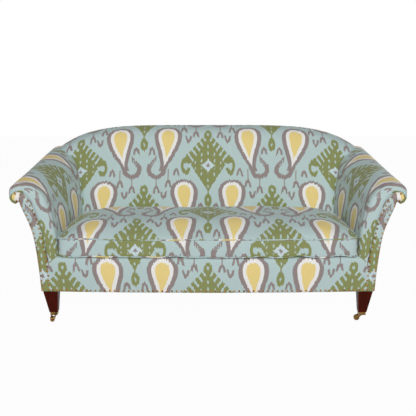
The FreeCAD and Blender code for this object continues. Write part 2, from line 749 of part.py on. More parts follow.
def square(x, depth, z, side):
    """Corners of a leg's section, kept inside the outside arm's panel."""
    h = side / 2

    def corner(across, back):
        limit = side_x(depth + back, outside_skin + 0.8)
        return V(max(-limit, min(limit, x + across)), at_depth(depth + back), z)
    return [corner(-h, -h), corner(h, -h), corner(h, h), corner(-h, h)]


def foot_places():
    """Where each leg's foot stands, from front left to back right: name, x, depth, yaw of its wheel."""
    fx, fd = front_leg[0] - leg_in, front_leg[1] + leg_in
    bx, bd = back_leg[0] + 2.0, back_leg[1] + back_leg_rake
    return (("front_left", -fx, fd, -105.0), ("front_right", fx, fd, 180.0),
            ("back_left", -bx, bd, 150.0), ("back_right", bx, bd, 35.0))


def make_legs():
    spigot = cup_side - 2 * cup_wall
    for name, x, depth, yaw in foot_places():
        top_x, top_depth = front_leg if name.startswith("front") else back_leg
        top_x = math.copysign(top_x, x)
        shank = facets([square(x, depth, castor_high, leg_foot), square(top_x, top_depth, rail_under, leg_top)])
        peg = box(x - spigot / 2, x + spigot / 2, at_depth(depth) - spigot / 2, at_depth(depth) + spigot / 2,
                  spigot_foot, castor_high + 1.0)
        leg = shank.fuse(peg)
        for screw in castor_screw_holes(x, depth):
            leg = leg.cut(screw)
        add(name + "_leg", biggest(leg))


# Castors

def lathe(profile, foot, axis, sides):
    """A turned piece with flat sides: profile holds pairs of height along axis and radius."""
    across = axis.cross(V(0, 0, 1) if abs(axis.z) < 0.9 else V(1, 0, 0)).normalize()
    other = axis.cross(across)
    rings = []
    for height, radius in profile:
        ring = []
        for i in range(sides):
            angle = 2 * math.pi * i / sides
            ring.append(foot + axis * height + (across * math.cos(angle) + other * math.sin(angle)) * radius)
        rings.append(ring)
    return facets(rings)


def small_pin(radius, foot, along):
    return lathe([(0.0, radius), (along.Length, radius)], foot, V(along).normalize(), pin_sides)


def small_bore(radius, foot, along):
    """A cutter whose flats lie at the radius, so that a pin turns freely in it."""
    return small_pin(radius / math.cos(math.pi / pin_sides), foot, along)


def castor_screw_holes(x, depth):
    """The shanks of the two screws that hold a cup to its leg."""
    z = castor_high - 5.5
    y = at_depth(depth)
    half = cup_side / 2
    return [lathe([(0.0, 1.5), (9.0, 1.5)], V(x - half, y, z), V(1, 0, 0), 6),
            lathe([(0.0, 1.5), (9.0, 1.5)], V(x + half, y, z), V(-1, 0, 0), 6)]


def castor_cup(x, depth):
    y = at_depth(depth)
    half = cup_side / 2
    shell = box(x - half, x + half, y - half, y + half, cup_floor, castor_high)
    inner = half - cup_wall
    shell = shell.cut(box(x - inner, x + inner, y - inner, y + inner, cup_floor + cup_wall, castor_high))
    shell = shell.cut(small_bore(pivot_radius + running, V(x, y, cup_floor - 1), V(0, 0, 10)))
    for screw in castor_screw_holes(x, depth):
        shell = shell.cut(screw)
    return shell


def castor_horn():
    """Pin, crown plate and the two cheeks that carry the wheel, trailing along +X."""
    cheek_in = wheel_wide / 2 + fork_gap
    cheek_out = cheek_in + fork_thick
    top = cup_floor - clear
    under = 2 * wheel_radius + 0.4
    crown = lathe([(0.0, cheek_out), (top - under, cheek_out)], V(0, 0, under), V(0, 0, 1), 16)
    pin = small_pin(pivot_radius, V(0, 0, under), V(0, 0, cup_floor + cup_wall + 0.4 - under))
    head = lathe([(0.0, pin_head), (1.6, pin_head - 1.0)], V(0, 0, cup_floor + cup_wall + clear), V(0, 0, 1), 12)
    axle_z = wheel_radius
    eye = 5.4
    side = [(-3.0, under), (-3.0, top), (wheel_trail - 13.0, top), (wheel_trail - 4.0, top - 2.0),
            (wheel_trail + 2.0, top - 6.5), (wheel_trail + eye, axle_z + 4.0), (wheel_trail + eye, axle_z - 2.4),
            (wheel_trail + 2.4, axle_z - eye), (wheel_trail - 2.4, axle_z - eye),
            (wheel_trail - eye, axle_z - 2.4), (2.0, under - 2.0)]
    points = [V(x, -cheek_out, z) for x, z in side]
    cheeks = prism(Part.makePolygon(points + points[:1]), V(0, 2 * cheek_out, 0))
    below = box(-20.0, wheel_trail + 20.0, -cheek_in, cheek_in, 0.0, under)
    slot = box(9.0, wheel_trail + 20.0, -cheek_in, cheek_in, 0.0, 60.0)
    horn = crown.fuse(cheeks.cut(below).cut(slot)).fuse(pin).fuse(head)
    rivet = small_pin(axle_radius, V(wheel_trail, -cheek_out - 1, axle_z), V(0, 2 * cheek_out + 2, 0))
    return biggest(horn.cut(rivet).removeSplitter())


def castor_wheel():
    """A brass wheel with narrow flats on its tread and a bore for the axle."""
    rim = 2.0
    profile = [(0.0, wheel_radius - rim), (rim, wheel_radius), (wheel_wide - rim, wheel_radius),
               (wheel_wide, wheel_radius - rim)]
    foot = V(wheel_trail, -wheel_wide / 2, wheel_radius)
    bore = small_bore(axle_radius + running, foot - V(0, 1, 0), V(0, wheel_wide + 2, 0))
    return lathe(profile, foot, V(0, 1, 0), 28).cut(bore)


def castor_axle():
    reach = wheel_wide / 2 + fork_gap + fork_thick
    return small_pin(axle_radius, V(wheel_trail, -reach - 0.5, wheel_radius), V(0, 2 * reach + 1, 0))


def make_castors():
    cups = []
    screws = []
    for name, x, depth, yaw in foot_places():
        def placed(shape):
            turned = shape.copy()
            turned.rotate(V(0, 0, 0), V(0, 0, 1), yaw)
            turned.translate(V(x, at_depth(depth), 0))
            return turned
        add(name + "_castor_horn", placed(castor_horn()))
        add(name + "_castor_wheel", placed(castor_wheel()))
        add(name + "_castor_axle", placed(castor_axle()))
        cups.append(castor_cup(x, depth))
        half = cup_side / 2
        y = at_depth(depth)
        z = castor_high - 5.5
        for shank, way in zip(castor_screw_holes(x, depth), (-1.0, 1.0)):
            head = lathe([(0.0, 3.0), (1.3, 1.8)], V(x + way * half, y, z), V(way, 0, 0), 6)
            screws.append(shank.fuse(head))
    parts["castor_cups"] = Part.makeCompound(cups)
    parts["castor_screws"] = Part.makeCompound(screws)


# Nails

def nail(place, facing):
    """A low domed head with six sides, standing a hair off the cloth."""
    across = V(0, 0, 1).cross(facing).normalize()
    base = place + facing * 0.15
    ring = [base + (across * math.cos(a) + V(0, 0, 1) * math.sin(a)) * nail_radius
            for a in [math.pi / 3 * (i + 0.5) for i in range(6)]]
    tip = base + facing * nail_high
    sides = [[ring[i - 1], ring[i], tip] for i in range(6)] + [ring]
    solid = Part.Solid(Part.Shell([Part.Face(Part.makePolygon(side + side[:1])) for side in sides]))
    return solid if solid.Volume > 0 else solid.reversed()


def make_nails():
    inset = 6.5
    row = base_under + 8.0
    outline = facing_wire(0.0, row, inset, inset)
    run = Part.Wire(outline.OrderedEdges[1:])
    count = int(run.Length / nail_pitch)
    heads = [nail(point, V(0, -1, 0)) for point in run.discretize(Number=count)]
    pair = Part.makeCompound(heads)
    parts["right_facing_nails"] = pair
    parts["left_facing_nails"] = mirrored(pair)

    heads = []
    last = facing_foot_in - nail_radius - 5.0
    count = int(2 * last / nail_pitch)
    for i in range(count + 1):
        x = -last + 2 * last * i / count
        heads.append(nail(V(x, at_depth(-bow_at(x)), row), V(0, -1, 0)))
    out = V(1, toe_in / arm_run, 0).normalize()
    start = 22.0
    end = seat_back + back_skin_foot - 16.0
    count = int((end - start) / nail_pitch)
    for i in range(count + 1):
        depth = start + (end - start) * i / count
        point = V(side_x(depth, -0.55), at_depth(depth), row)
        heads += [nail(point, out), nail(V(-point.x, point.y, point.z), V(-out.x, out.y, 0))]
    rear = seat_back + back_skin_foot
    last = side_x(rear, 16.0)
    count = int(2 * last / nail_pitch)
    for i in range(count + 1):
        x = -last + 2 * last * i / count
        heads.append(nail(V(x, at_depth(rear + 0.3), row), V(0, 1, 0)))
    parts["base_nails"] = Part.makeCompound(heads)


def build():
    make_arms()
    make_back()
    make_base()
    make_seat()
    make_webs_and_springs()
    make_cushion()
    make_legs()
    make_castors()
    make_nails()


def export():
    os.makedirs("parts", exist_ok=True)
    for name, shape in parts.items():
        shape.exportStep("parts/" + name + ".step")


build()
export()
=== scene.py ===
import math

import bmesh
import bpy
from mathutils import Matrix, Vector, noise


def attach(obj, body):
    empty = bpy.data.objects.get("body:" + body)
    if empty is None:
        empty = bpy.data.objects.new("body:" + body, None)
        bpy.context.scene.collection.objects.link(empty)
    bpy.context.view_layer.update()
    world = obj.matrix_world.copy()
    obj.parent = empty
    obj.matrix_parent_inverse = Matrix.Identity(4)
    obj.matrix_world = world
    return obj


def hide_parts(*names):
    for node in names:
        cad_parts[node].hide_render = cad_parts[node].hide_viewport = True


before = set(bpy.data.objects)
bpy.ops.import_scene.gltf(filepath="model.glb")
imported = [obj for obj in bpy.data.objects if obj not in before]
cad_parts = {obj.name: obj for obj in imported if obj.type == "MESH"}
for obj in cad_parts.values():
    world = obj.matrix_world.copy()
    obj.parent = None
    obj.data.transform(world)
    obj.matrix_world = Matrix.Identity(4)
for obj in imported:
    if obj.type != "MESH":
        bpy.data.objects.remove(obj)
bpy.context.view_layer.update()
mm = 0.001
sides = (("right", False), ("left", True))

# the sizes that the frame was drawn with, in millimetres
sofa = dict(front=-396.4, toeIn=58.0, armRise=60.0, armRun=724.0, armEnd=742.0, baseUnder=163.0,
            deckTop=333.0, bow=22.0, bowHalf=747.0, archDrop=117.0, archPower=5.0, archHalf=805.0,
            fallFrom=420.0, fallTo=744.0)


# camera

view = dict(place=(0.0, -4.072, 1.423), pitchDown=13.07, lens=70.4, sensor=36.0)


def linked(name, data):
    thing = bpy.data.objects.new(name, data)
    bpy.context.scene.collection.objects.link(thing)
    return thing


def setCamera():
    camera = linked("camera", bpy.data.cameras.new("camera"))
    camera.data.lens = view["lens"]
    camera.data.sensor_width = view["sensor"]
    camera.location = view["place"]
    camera.rotation_euler = (math.radians(90.0 - view["pitchDown"]), 0.0, 0.0)
    bpy.context.scene.camera = camera


setCamera()


# shader graph helpers

class Term:
    # a socket that takes part in sums: each operator adds its Math node
    def __init__(self, graph, socket):
        self.graph = graph
        self.socket = socket

    def worked(self, operation, *others, clamp=False):
        values = dict(enumerate((self,) + others))
        return self.graph.node("ShaderNodeMath", {"operation": operation, "use_clamp": clamp}, values)

    def __add__(self, other):
        return self.worked("ADD", other)

    __radd__ = __add__

    def __sub__(self, other):
        return self.worked("SUBTRACT", other)

    def __rsub__(self, other):
        return self.graph.node("ShaderNodeMath", {"operation": "SUBTRACT"}, {0: other, 1: self})

    def __mul__(self, other):
        return self.worked("MULTIPLY", other)

    __rmul__ = __mul__

    def __truediv__(self, other):
        return self.worked("DIVIDE", other)

    def __pow__(self, other):
        return self.worked("POWER", other)

    def __abs__(self):
        return self.worked("ABSOLUTE")

    def least(self, other):
        return self.worked("MINIMUM", other)

    def most(self, other):
        return self.worked("MAXIMUM", other)

    def over(self, other):
        return self.worked("GREATER_THAN", other)

    def root(self):
        return self.worked("SQRT")

    def floor(self):
        return self.worked("FLOOR")

    def held(self):
        return self.worked("ADD", 0.0, clamp=True)


class Graph:
    def __init__(self, tree):
        self.tree = tree

    def node(self, kind, settings=None, sockets=None, output=0):
        made = self.tree.nodes.new(kind)
        for name, value in (settings or {}).items():
            if name == "stops":
                ramp = made.color_ramp.elements
                while len(ramp) < len(value):
                    ramp.new(1.0)
                for stop, (place, colour) in zip(ramp, value):
                    stop.position = place
                    stop.color = colour
            else:
                setattr(made, name, value)
        for name, value in (sockets or {}).items():
            if isinstance(value, Term):
                self.tree.links.new(value.socket, made.inputs[name])
            else:
                made.inputs[name].default_value = value
        return Term(self, made.outputs[output])


class Finish(Graph):
    def __init__(self, name, **fixed):
        self.material = bpy.data.materials.new(name)
        self.material.use_nodes = True
        super().__init__(self.material.node_tree)
        self.shader = self.tree.nodes["Principled BSDF"]
        for socket, value in fixed.items():
            self.shader.inputs[socket.replace("_", " ")].default_value = value

    def mixed(self, share, low, high, way="MIX"):
        return self.node("ShaderNodeMix", {"data_type": "RGBA", "blend_type": way},
                         {0: share, 6: low, 7: high}, 2)

    def noise(self, vector, scale, detail=2.0, roughness=0.5):
        # a scale of three numbers stretches it
        if isinstance(scale, tuple):
            vector = self.node("ShaderNodeMapping", None, {"Vector": vector, "Scale": scale})
            scale = 1.0
        return self.node("ShaderNodeTexNoise", None,
                         {"Vector": vector, "Scale": scale, "Detail": detail, "Roughness": roughness})

    def place(self):
        return self.node("ShaderNodeTexCoord", None, None, 3)

    def feed(self, socket, value):
        self.tree.links.new(value.socket, self.shader.inputs[socket])

    def bump(self, height, strength, distance):
        self.feed("Normal", self.node("ShaderNodeBump", None,
                                      {"Height": height, "Strength": strength, "Distance": distance}))


def shade(red, green, blue):
    # a colour as a paint card gives it, 0 to 255, for the shader
    parts = []
    for value in (red, green, blue):
        value /= 255.0
        parts.append(value / 12.92 if value <= 0.04045 else ((value + 0.055) / 1.055) ** 2.4)
    return (*parts, 1.0)


# printed linen: an ikat of drops and leafy diamonds, drawn in metres on the cloth

dyes = dict(ground=shade(186, 208, 207), green=shade(135, 141, 86), grey=shade(145, 132, 130),
            white=shade(246, 244, 241), yellow=shade(241, 215, 136), pale=shade(204, 222, 226))
linenPrint = dict(repeatWide=0.68, repeatHigh=0.60, rowFrom=0.29, dropRise=0.022, softEdge=0.0022,
                  flecksUp=((0.104, 0.138),), flecksDown=((0.041, -0.218), (0.171, -0.032), (0.171, 0.268)))


def wrapped(value, period):
    return value - (value / period + 0.5).floor() * period


def ring(x, y, wide, high, half):
    return abs(((x / wide) * (x / wide) + (y / high) * (y / high)).root() - 1.0) * min(wide, high) - half


def bar(x, y, wide, high):
    return (abs(x) - wide).most(abs(y) - high)


def beyond(x, y, across, up, reach):
    # distance past a straight edge
    return x * across + y * up - reach


fleckForm = dict(apart=0.0088, spread=0.2, half=0.0055, middle=0.004, rise=0.3, reach=0.0150,
                 foot=-0.010, footRise=0.9, footSize=(0.0105, 0.0095))


def fleck(x, y):
    # a tulip of dye: two upright strokes that meet at the foot
    form = fleckForm
    side = abs(x)
    across = abs(side - form["apart"] - y * form["spread"]) - form["half"]
    strokes = across.most(abs(y - form["middle"] - side * form["rise"]) - form["reach"])
    return strokes.least(bar(x, y - form["foot"] - side * form["footRise"], *form["footSize"]))


# each dye's drop is given by its top, its length and its half width
dropForm = dict(aside=0.128, lean=0.030, leanFrom=-0.111, leanRun=0.2366,
                taper=1.7, fullness=3.25, trim=0.0018,
                yellow=(-0.126, 0.172, 0.036), white=(-0.110, 0.2366, 0.0535), grey=(-0.098, 0.300, 0.0745),
                neckHalf=0.0195, neckTop=-0.23, neckFoot=-0.350,
                stemHalf=0.0026, stem=(-0.378, 0.034, -0.416), tailStem=(-0.414, 0.028, -0.447))
tailForm = dict(aside=0.0645, up=-0.3435, radius=0.0395, half=0.0118, openUp=0.012, openRise=0.5)
combForm = dict(start=-0.031, up=0.023, rise=1.12, pitch=0.0098, toothHalf=0.0031, toothReach=0.0155,
                spine=0.006, spineHalf=0.0050, middle=0.0145, half=0.0190)


def drop(aside, y, top, length, half):
    # distance outside a hanging drop with a round head at the top and a long tip below
    t = ((top - y) / length).held()
    wide = t.root() * (1.0 - t) ** dropForm["taper"] * (dropForm["fullness"] * half)
    return abs(aside) - wide + dropForm["trim"]


def curledTail(x, y):
    # a hook towards the axis that ends in a comb
    tail, comb = tailForm, combForm
    hook = abs((x * x + y * y).root() - tail["radius"]) - tail["half"]
    hook = hook.most(y - tail["openUp"] - (0.0 - x).most(0.0) * tail["openRise"])
    step = x - comb["start"]
    rise = y - comb["up"] - step * comb["rise"]
    teeth = (abs(wrapped(step, comb["pitch"])) - comb["toothHalf"]).most(abs(rise) - comb["toothReach"])
    teeth = teeth.least(abs(rise - comb["spine"]) - comb["spineHalf"])
    return hook.least(teeth.most(abs(step - comb["middle"]) - comb["half"]))


def stemAndFoot(x, y, middle, half, foot):
    return bar(x, y - middle, dropForm["stemHalf"], half).least(fleck(x, foot - y))


def dropPair(x, y):
    # one of the two drops beside an axis: distances outside its yellow, white and grey
    form = dropForm
    t = ((form["leanFrom"] - y) / form["leanRun"]).held()
    aside = x + t * t * t * form["lean"] - form["aside"]
    yellow, white, grey = (drop(aside, y, *form[dye]) for dye in ("yellow", "white", "grey"))
    grey = grey.least((abs(aside) - form["neckHalf"]).most(y - form["neckTop"]).most(form["neckFoot"] - y))
    tailX = x - tailForm["aside"]
    grey = grey.least(curledTail(tailX, y - tailForm["up"]))
    grey = grey.least(stemAndFoot(x - form["aside"], y, *form["stem"]))
    return yellow, white, grey.least(stemAndFoot(tailX, y, *form["tailStem"]))


# straight edges are given by their slope across and up and their reach, rings by height, size and half line
leafForm = dict(fingerSlant=(-0.819, 0.574, 0.0237), fingerPitch=0.0286, fingerHalf=0.0092, fingerFoot=0.012,
                tips=(0.7475, 0.6645, 0.1215), tipsAside=0.128,
                heartTop=(0.843, -0.538, 0.0755), heartFoot=(0.847, 0.532, 0.079),
                spine=(0.085, 0.0095, 0.075), stem=(-0.138, 0.0036, 0.026),
                crown=(0.169, 0.0135, 0.0175, 0.0068), bud=(-0.186, 0.0120, 0.0215, 0.0074),
                hookAt=(0.119, -0.003), hook=(0.0185, 0.034, 0.0070), hookOpen=(-0.004, 0.012, 0.002),
                seedGrid=(0.034, 0.036), seedLean=0.9, seedUp=-0.006, seed=(0.0042, 0.0095), seedEdge=0.004,
                seedInside=0.010, seedsFrom=0.048, star=(0.040, 0.038), starPower=0.8, starEdge=0.02,
                cross=(0.0095, 0.0042), upright=(0.0040, 0.0095))


def seeds(x, y, heart):
    # seeds of ground inside the diamond, all round its middle
    form = leafForm
    seedX = wrapped(x, form["seedGrid"][0])
    seedY = wrapped(y - abs(x - seedX) * form["seedLean"] - form["seedUp"], form["seedGrid"][1])
    wide, high = form["seed"]
    seedX, seedY = seedX / wide, seedY / high
    seed = ((seedX * seedX + seedY * seedY).root() - 1.0) * form["seedEdge"]
    return seed.most(heart + form["seedInside"]).most(form["seedsFrom"] - (x + abs(y) * form["seedLean"]))


def medallion(x, y):
    # distances outside the green, and outside the pale star in its middle and the grey cross in that
    form = leafForm
    wave = abs(wrapped(beyond(x, y, *form["fingerSlant"]), form["fingerPitch"])) - form["fingerHalf"]
    fingers = wave.most(beyond(x, y, *form["tips"]).most(x - form["tipsAside"])).most(form["fingerFoot"] - y)
    heart = beyond(x, y, *form["heartTop"]).most(beyond(x, y, *form["heartFoot"]))
    green = fingers.least(heart)
    for up, wide, high in (form["spine"], form["stem"]):
        green = green.least(bar(x, y - up, wide, high))
    for up, *size in (form["crown"], form["bud"]):
        green = green.least(ring(x, y - up, *size))
    hookX, hookY = x - form["hookAt"][0], y - form["hookAt"][1]
    left, right, up = form["hookOpen"]
    opening = (left - hookX).least(right - abs(hookY - up))
    green = green.least(ring(hookX, hookY, *form["hook"]).most(opening))
    green = green.most(seeds(x, y, heart) * -1.0)
    wide, high = form["star"]
    star = ((x / wide) ** form["starPower"] + (abs(y) / high) ** form["starPower"] - 1.0) * form["starEdge"]
    return green, star, bar(x, y, *form["cross"]).least(bar(x, y, *form["upright"]))


def ikat(u, v):
    # every second column stands half a repeat higher
    wide, high = linenPrint["repeatWide"], linenPrint["repeatHigh"]
    rowFrom, dropRise = linenPrint["rowFrom"], linenPrint["dropRise"]
    aside = abs(wrapped(u, wide))
    second = aside.over(wide / 4)
    x = aside.least(wide / 2 - aside)
    y = wrapped(v - second * (high / 2), high)
    green, star, cross = medallion(x, y)
    near = wrapped(v - second * (high / 2) + rowFrom, high) - rowFrom
    far = wrapped(v - (1.0 - second) * (high / 2) + rowFrom, high) - rowFrom
    yellow, white, grey = dropPair(x, near - dropRise)
    yellow2, white2, grey2 = dropPair(wide / 2 - x, far - dropRise)
    grey = grey.least(grey2)
    for across, up in linenPrint["flecksUp"]:
        grey = grey.least(fleck(x - across, y - up))
    for across, up in linenPrint["flecksDown"]:
        grey = grey.least(fleck(x - across, 0.0 - wrapped(y - up, high)))
    return green, star, cross, grey, white.least(white2), yellow.least(yellow2)


weave = dict(streaks=(170.0, 9.0, 1.0), creep=0.030, drift=(9.0, 9.0, 1.0), wander=0.008,
             warp=(420.0, 26.0, 1.0), weft=(30.0, 380.0, 1.0), threads=(900.0, 900.0, 1.0),
             tone=0.34, toneShare=0.55, slub=0.6, thread=0.5, bump=(0.35, 0.0006))


def printedLinen():
    linen = Finish("printedLinen", Roughness=0.82, Sheen_Weight=0.15, Sheen_Roughness=0.5)
    cloth = linen.node("ShaderNodeUVMap", {"uv_map": "cloth"})
    u = linen.node("ShaderNodeSeparateXYZ", None, {0: cloth}, 0)
    v = linen.node("ShaderNodeSeparateXYZ", None, {0: cloth}, 1)
    # the dye creeps along the warp, so every edge across it is ragged
    streaks = linen.noise(cloth, weave["streaks"], 1.0)
    creep = (streaks - 0.5) * weave["creep"]
    wander = (linen.noise(cloth, weave["drift"], 1.0) - 0.5) * weave["wander"]
    green, star, cross, grey, white, yellow = ikat(u + wander, v + creep)
    colour = dyes["ground"]
    for distance, dye in ((green, "green"), (star, "pale"), (cross, "grey"), (grey, "grey"),
                          (white, "white"), (yellow, "yellow")):
        colour = linen.mixed((0.5 - distance / linenPrint["softEdge"]).held(), colour, dyes[dye])
    # uneven dye and slubs in the yarn
    warp = linen.noise(cloth, weave["warp"], 2.0)
    weft = linen.noise(cloth, weave["weft"], 2.0)
    tone = linen.mixed((warp + weft - 1.0) * weave["tone"] + 0.5, shade(120, 120, 120), shade(255, 255, 255))
    linen.feed("Base Color", linen.mixed(weave["toneShare"], colour, tone, "SOFT_LIGHT"))
    threads = linen.noise(cloth, weave["threads"], 1.0)
    linen.bump(warp * weave["slub"] + weft * weave["slub"] + threads * weave["thread"], *weave["bump"])
    return linen.material


finishes = {"linen": printedLinen()}
print("the printed linen is woven")


# woods and hidden stuffs

def wood(name, light, dark, gloss, coat):
    timber = Finish(name, Coat_Weight=coat, Coat_Roughness=0.25, Specular_IOR_Level=0.06)
    place = timber.place()
    grain = timber.noise(place, (95.0, 95.0, 5.0), 4.0, 0.6)
    pores = timber.noise(place, (900.0, 900.0, 26.0))
    share = ((grain - 0.5) * 1.8 + (pores - 0.5) * 0.8 + 0.5).held()
    timber.feed("Base Color", timber.mixed(share, dark, light))
    timber.feed("Roughness", share * 0.15 + gloss)
    timber.bump(pores, 0.25, 0.0003)
    return timber.material


def stuff(name, light, dark, pitch, roughness=0.9):
    # a plain woven cloth: threads over and under, with thick and thin places
    cloth = Finish(name, Roughness=roughness)
    place = cloth.place()
    rows = cloth.noise(place, (pitch, 12.0, pitch), 1.0)
    columns = cloth.noise(place, (12.0, pitch, 12.0), 1.0)
    share = ((rows + columns - 1.0) * 1.6 + 0.5).held()
    cloth.feed("Base Color", cloth.mixed(share, dark, light))
    cloth.bump(rows + columns, 0.4, 0.0005)
    return cloth.material


def plainSteel():
    steel = Finish("springSteel", Metallic=1.0)
    rust = steel.noise(steel.place(), 240.0, 2.0)
    share = ((rust - 0.5) * 3.0 + 0.4).held()
    steel.feed("Base Color", steel.mixed(share, shade(150, 148, 144), shade(98, 84, 72)))
    steel.feed("Roughness", rust * 0.4 + 0.25)
    return steel.material


finishes["mahogany"] = wood("mahogany", shade(88, 20, 3), shade(40, 8, 1), 0.34, 0.03)
finishes["beech"] = wood("beech", shade(208, 172, 124), shade(168, 128, 84), 0.5, 0.0)
finishes["jute"] = stuff("jute", shade(196, 164, 112), shade(120, 92, 56), 700.0)
finishes["hessian"] = stuff("hessian", shade(182, 154, 112), shade(118, 92, 60), 900.0)
finishes["lining"] = stuff("lining", shade(48, 46, 46), shade(18, 17, 18), 1400.0)
finishes["platformCloth"] = stuff("platformCloth", shade(214, 202, 178), shade(176, 162, 138), 1500.0)
finishes["filling"] = stuff("filling", shade(240, 236, 226), shade(206, 200, 188), 300.0)
finishes["steel"] = plainSteel()


def brass(name, bright, dull, polish):
    metal = Finish(name, Metallic=1.0)
    place = metal.place()
    cloud = metal.noise(place, 60.0, 3.0)
    grime = metal.noise(place, 420.0, 2.0)
    share = ((cloud - 0.42) * 3.0 + (grime - 0.5) * 1.5).held()
    metal.feed("Base Color", metal.mixed(share, bright, dull))
    metal.feed("Roughness", share * 0.25 + polish)
    metal.bump(grime, 0.2, 0.0003)
    return metal.material


finishes["nailBrass"] = brass("nailBrass", shade(158, 116, 70), shade(84, 56, 32), 0.36)
finishes["castorBrass"] = brass("castorBrass", shade(134, 102, 58), shade(38, 27, 15), 0.2)


# shapes shared by the soft pieces

def smoothLine(points, count):
    # evenly spaced points on a smooth line through the given ones, measured in their first two numbers
    knots = [Vector(point) for point in points]
    fine = []
    for i in range(len(knots) - 1):
        here, there = knots[i], knots[i + 1]
        before = knots[i - 1] if i else here * 2 - there
        after = knots[i + 2] if i + 2 < len(knots) else there * 2 - here
        for k in range(16):
            t = k / 16
            bend = before * 2 - here * 5 + there * 4 - after
            twist = here * 3 - before - there * 3 + after
            fine.append((here * 2 + (there - before) * t + bend * t ** 2 + twist * t ** 3) * 0.5)
    fine.append(knots[-1])
    reach = [0.0]
    for a, b in zip(fine, fine[1:]):
        reach.append(reach[-1] + (b.xy - a.xy).length)
    line = []
    k = 0
    for i in range(count + 1):
        goal = reach[-1] * i / count
        while k < len(reach) - 2 and reach[k + 1] < goal:
            k += 1
        line.append(fine[k].lerp(fine[k + 1], (goal - reach[k]) / max(1e-9, reach[k + 1] - reach[k])))
    return line, reach[-1]


def held(value):
    return max(0.0, min(1.0, value))


def onLine(line, t):
    place = held(t) * (len(line) - 1)
    k = min(int(place), len(line) - 2)
    return line[k].lerp(line[k + 1], place - k)


def eased(value, low, high):
    t = held((value - low) / (high - low))
    return t * t * (3 - 2 * t)


def archFall(x):
    # how far the back's arch has come down at x
    return sofa["archDrop"] * min(1.0, abs(x) / sofa["archHalf"]) ** sofa["archPower"]


def fallShare(z):
    # how much of that fall a height takes part in
    return held((z - sofa["fallFrom"]) / (sofa["fallTo"] - sofa["fallFrom"]))


def toeAt(depth):
    return sofa["toeIn"] * depth / sofa["armRun"]


def riseAt(depth):
    return sofa["armRise"] * depth / sofa["armRun"]


def bowAt(x):
    # how far the front stands out at x
    half, bow = sofa["bowHalf"], sofa["bow"]
    radius = (half ** 2 + bow ** 2) / (2 * bow)
    return bow - radius + math.sqrt(radius ** 2 - min(abs(x), half) ** 2)


def armPlace(x, depth, z):
    # the arms turn in and rise towards the back
    s = depth / sofa["armRun"]
    return Vector((x - sofa["toeIn"] * s, sofa["front"] + depth, z + sofa["armRise"] * s))


def ripple(point, size, height, seed=0.0):
    # a slow unevenness of the stuffing
    return noise.noise(Vector(point) / size + Vector((seed, seed, seed))) * height


def softPiece(name, across, along, place, cloth, thick=0.0, flip=False, mirror=False, finish="linen"):
    # a grid laid over a form: place and cloth take 0 to 1 both ways and give millimetres
    bm = bmesh.new()
    bmesh.ops.create_grid(bm, x_segments=across, y_segments=along, size=0.5)
    printMap = bm.loops.layers.uv.new("cloth")
    side = -1.0 if mirror else 1.0
    for face in bm.faces:
        for loop in face.loops:
            u, v = cloth(loop.vert.co.x + 0.5, loop.vert.co.y + 0.5)
            loop[printMap].uv = (side * u * mm, v * mm)
    for vert in bm.verts:
        spot = place(vert.co.x + 0.5, vert.co.y + 0.5)
        vert.co = Vector((side * spot.x, spot.y, spot.z)) * mm
    if flip != mirror:
        bmesh.ops.reverse_faces(bm, faces=bm.faces)
    return finished(name, bm, finish, thick)


def finished(name, bm, finish, thick=0.0, smooth=True):
    for face in bm.faces:
        face.smooth = smooth
    mesh = bpy.data.meshes.new(name)
    bm.to_mesh(mesh)
    bm.free()
    mesh.materials.append(finishes[finish])
    piece = linked(name, mesh)
    if thick:
        wall = piece.modifiers.new("wall", "SOLIDIFY")
        wall.thickness = thick * mm
        wall.offset = -1.0
    return piece


def stands(piece, body, slot, *nodes):
    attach(piece, body)
    if nodes:
        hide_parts(*nodes)


# arms

arm = dict(edge=20.0, frontTuck=4.0, frontOut=5.0, frontPuff=4.0, frontShare=0.14, roundShare=0.12, wall=9.0,
           footLow=300.0, footHigh=345.0, footBack=6.0, pleats=22, pleatDeep=1.8,
           printAcross=288.0, printUp=-330.0)
# soft outline from the seat up over the roll, with the facing's edge beside each point
armOutline = (
    (711, 292, 753, 292), (711.5, 333, 758, 333), (714, 440, 777, 440),
    (728, 520, 797, 518), (752, 600, 825, 594), (769, 632, 840, 617),
    (790, 655, 849, 628), (822, 677, 862, 640), (860, 684, 880, 644),
    (885, 682, 893, 642), (904, 674, 902, 636), (919, 658, 907, 629),
    (924, 640, 909, 621), (922, 621, 907, 612), (914, 604, 902, 605),
    (902, 594, 896, 601), (888, 590, 888, 599),
)
armLine, armGirth = smoothLine(armOutline, 240)


def armProfile(t):
    # from the facing's edge forwards and round the soft front edge, then back along the arm:
    # how far in towards the facing, how far in from the outline, depth
    frontShare, roundShare, edge = arm["frontShare"], arm["roundShare"], arm["edge"]
    if t < frontShare:
        k = t / frontShare
        puff = arm["frontPuff"] * math.sin(math.pi * k ** 0.8)
        return 1.0 - k, edge, arm["frontTuck"] - arm["frontOut"] * eased(k, 0.0, 0.30) - puff
    if t < frontShare + roundShare:
        angle = (t - frontShare) / roundShare * math.pi / 2
        return 0.0, edge * (1 - math.sin(angle)), -1.0 + (edge + 1.0) * (1 - math.cos(angle))
    k = (t - frontShare - roundShare) / (1 - frontShare - roundShare)
    return 0.0, 0.0, edge + (sofa["armEnd"] - edge) * k ** 1.15


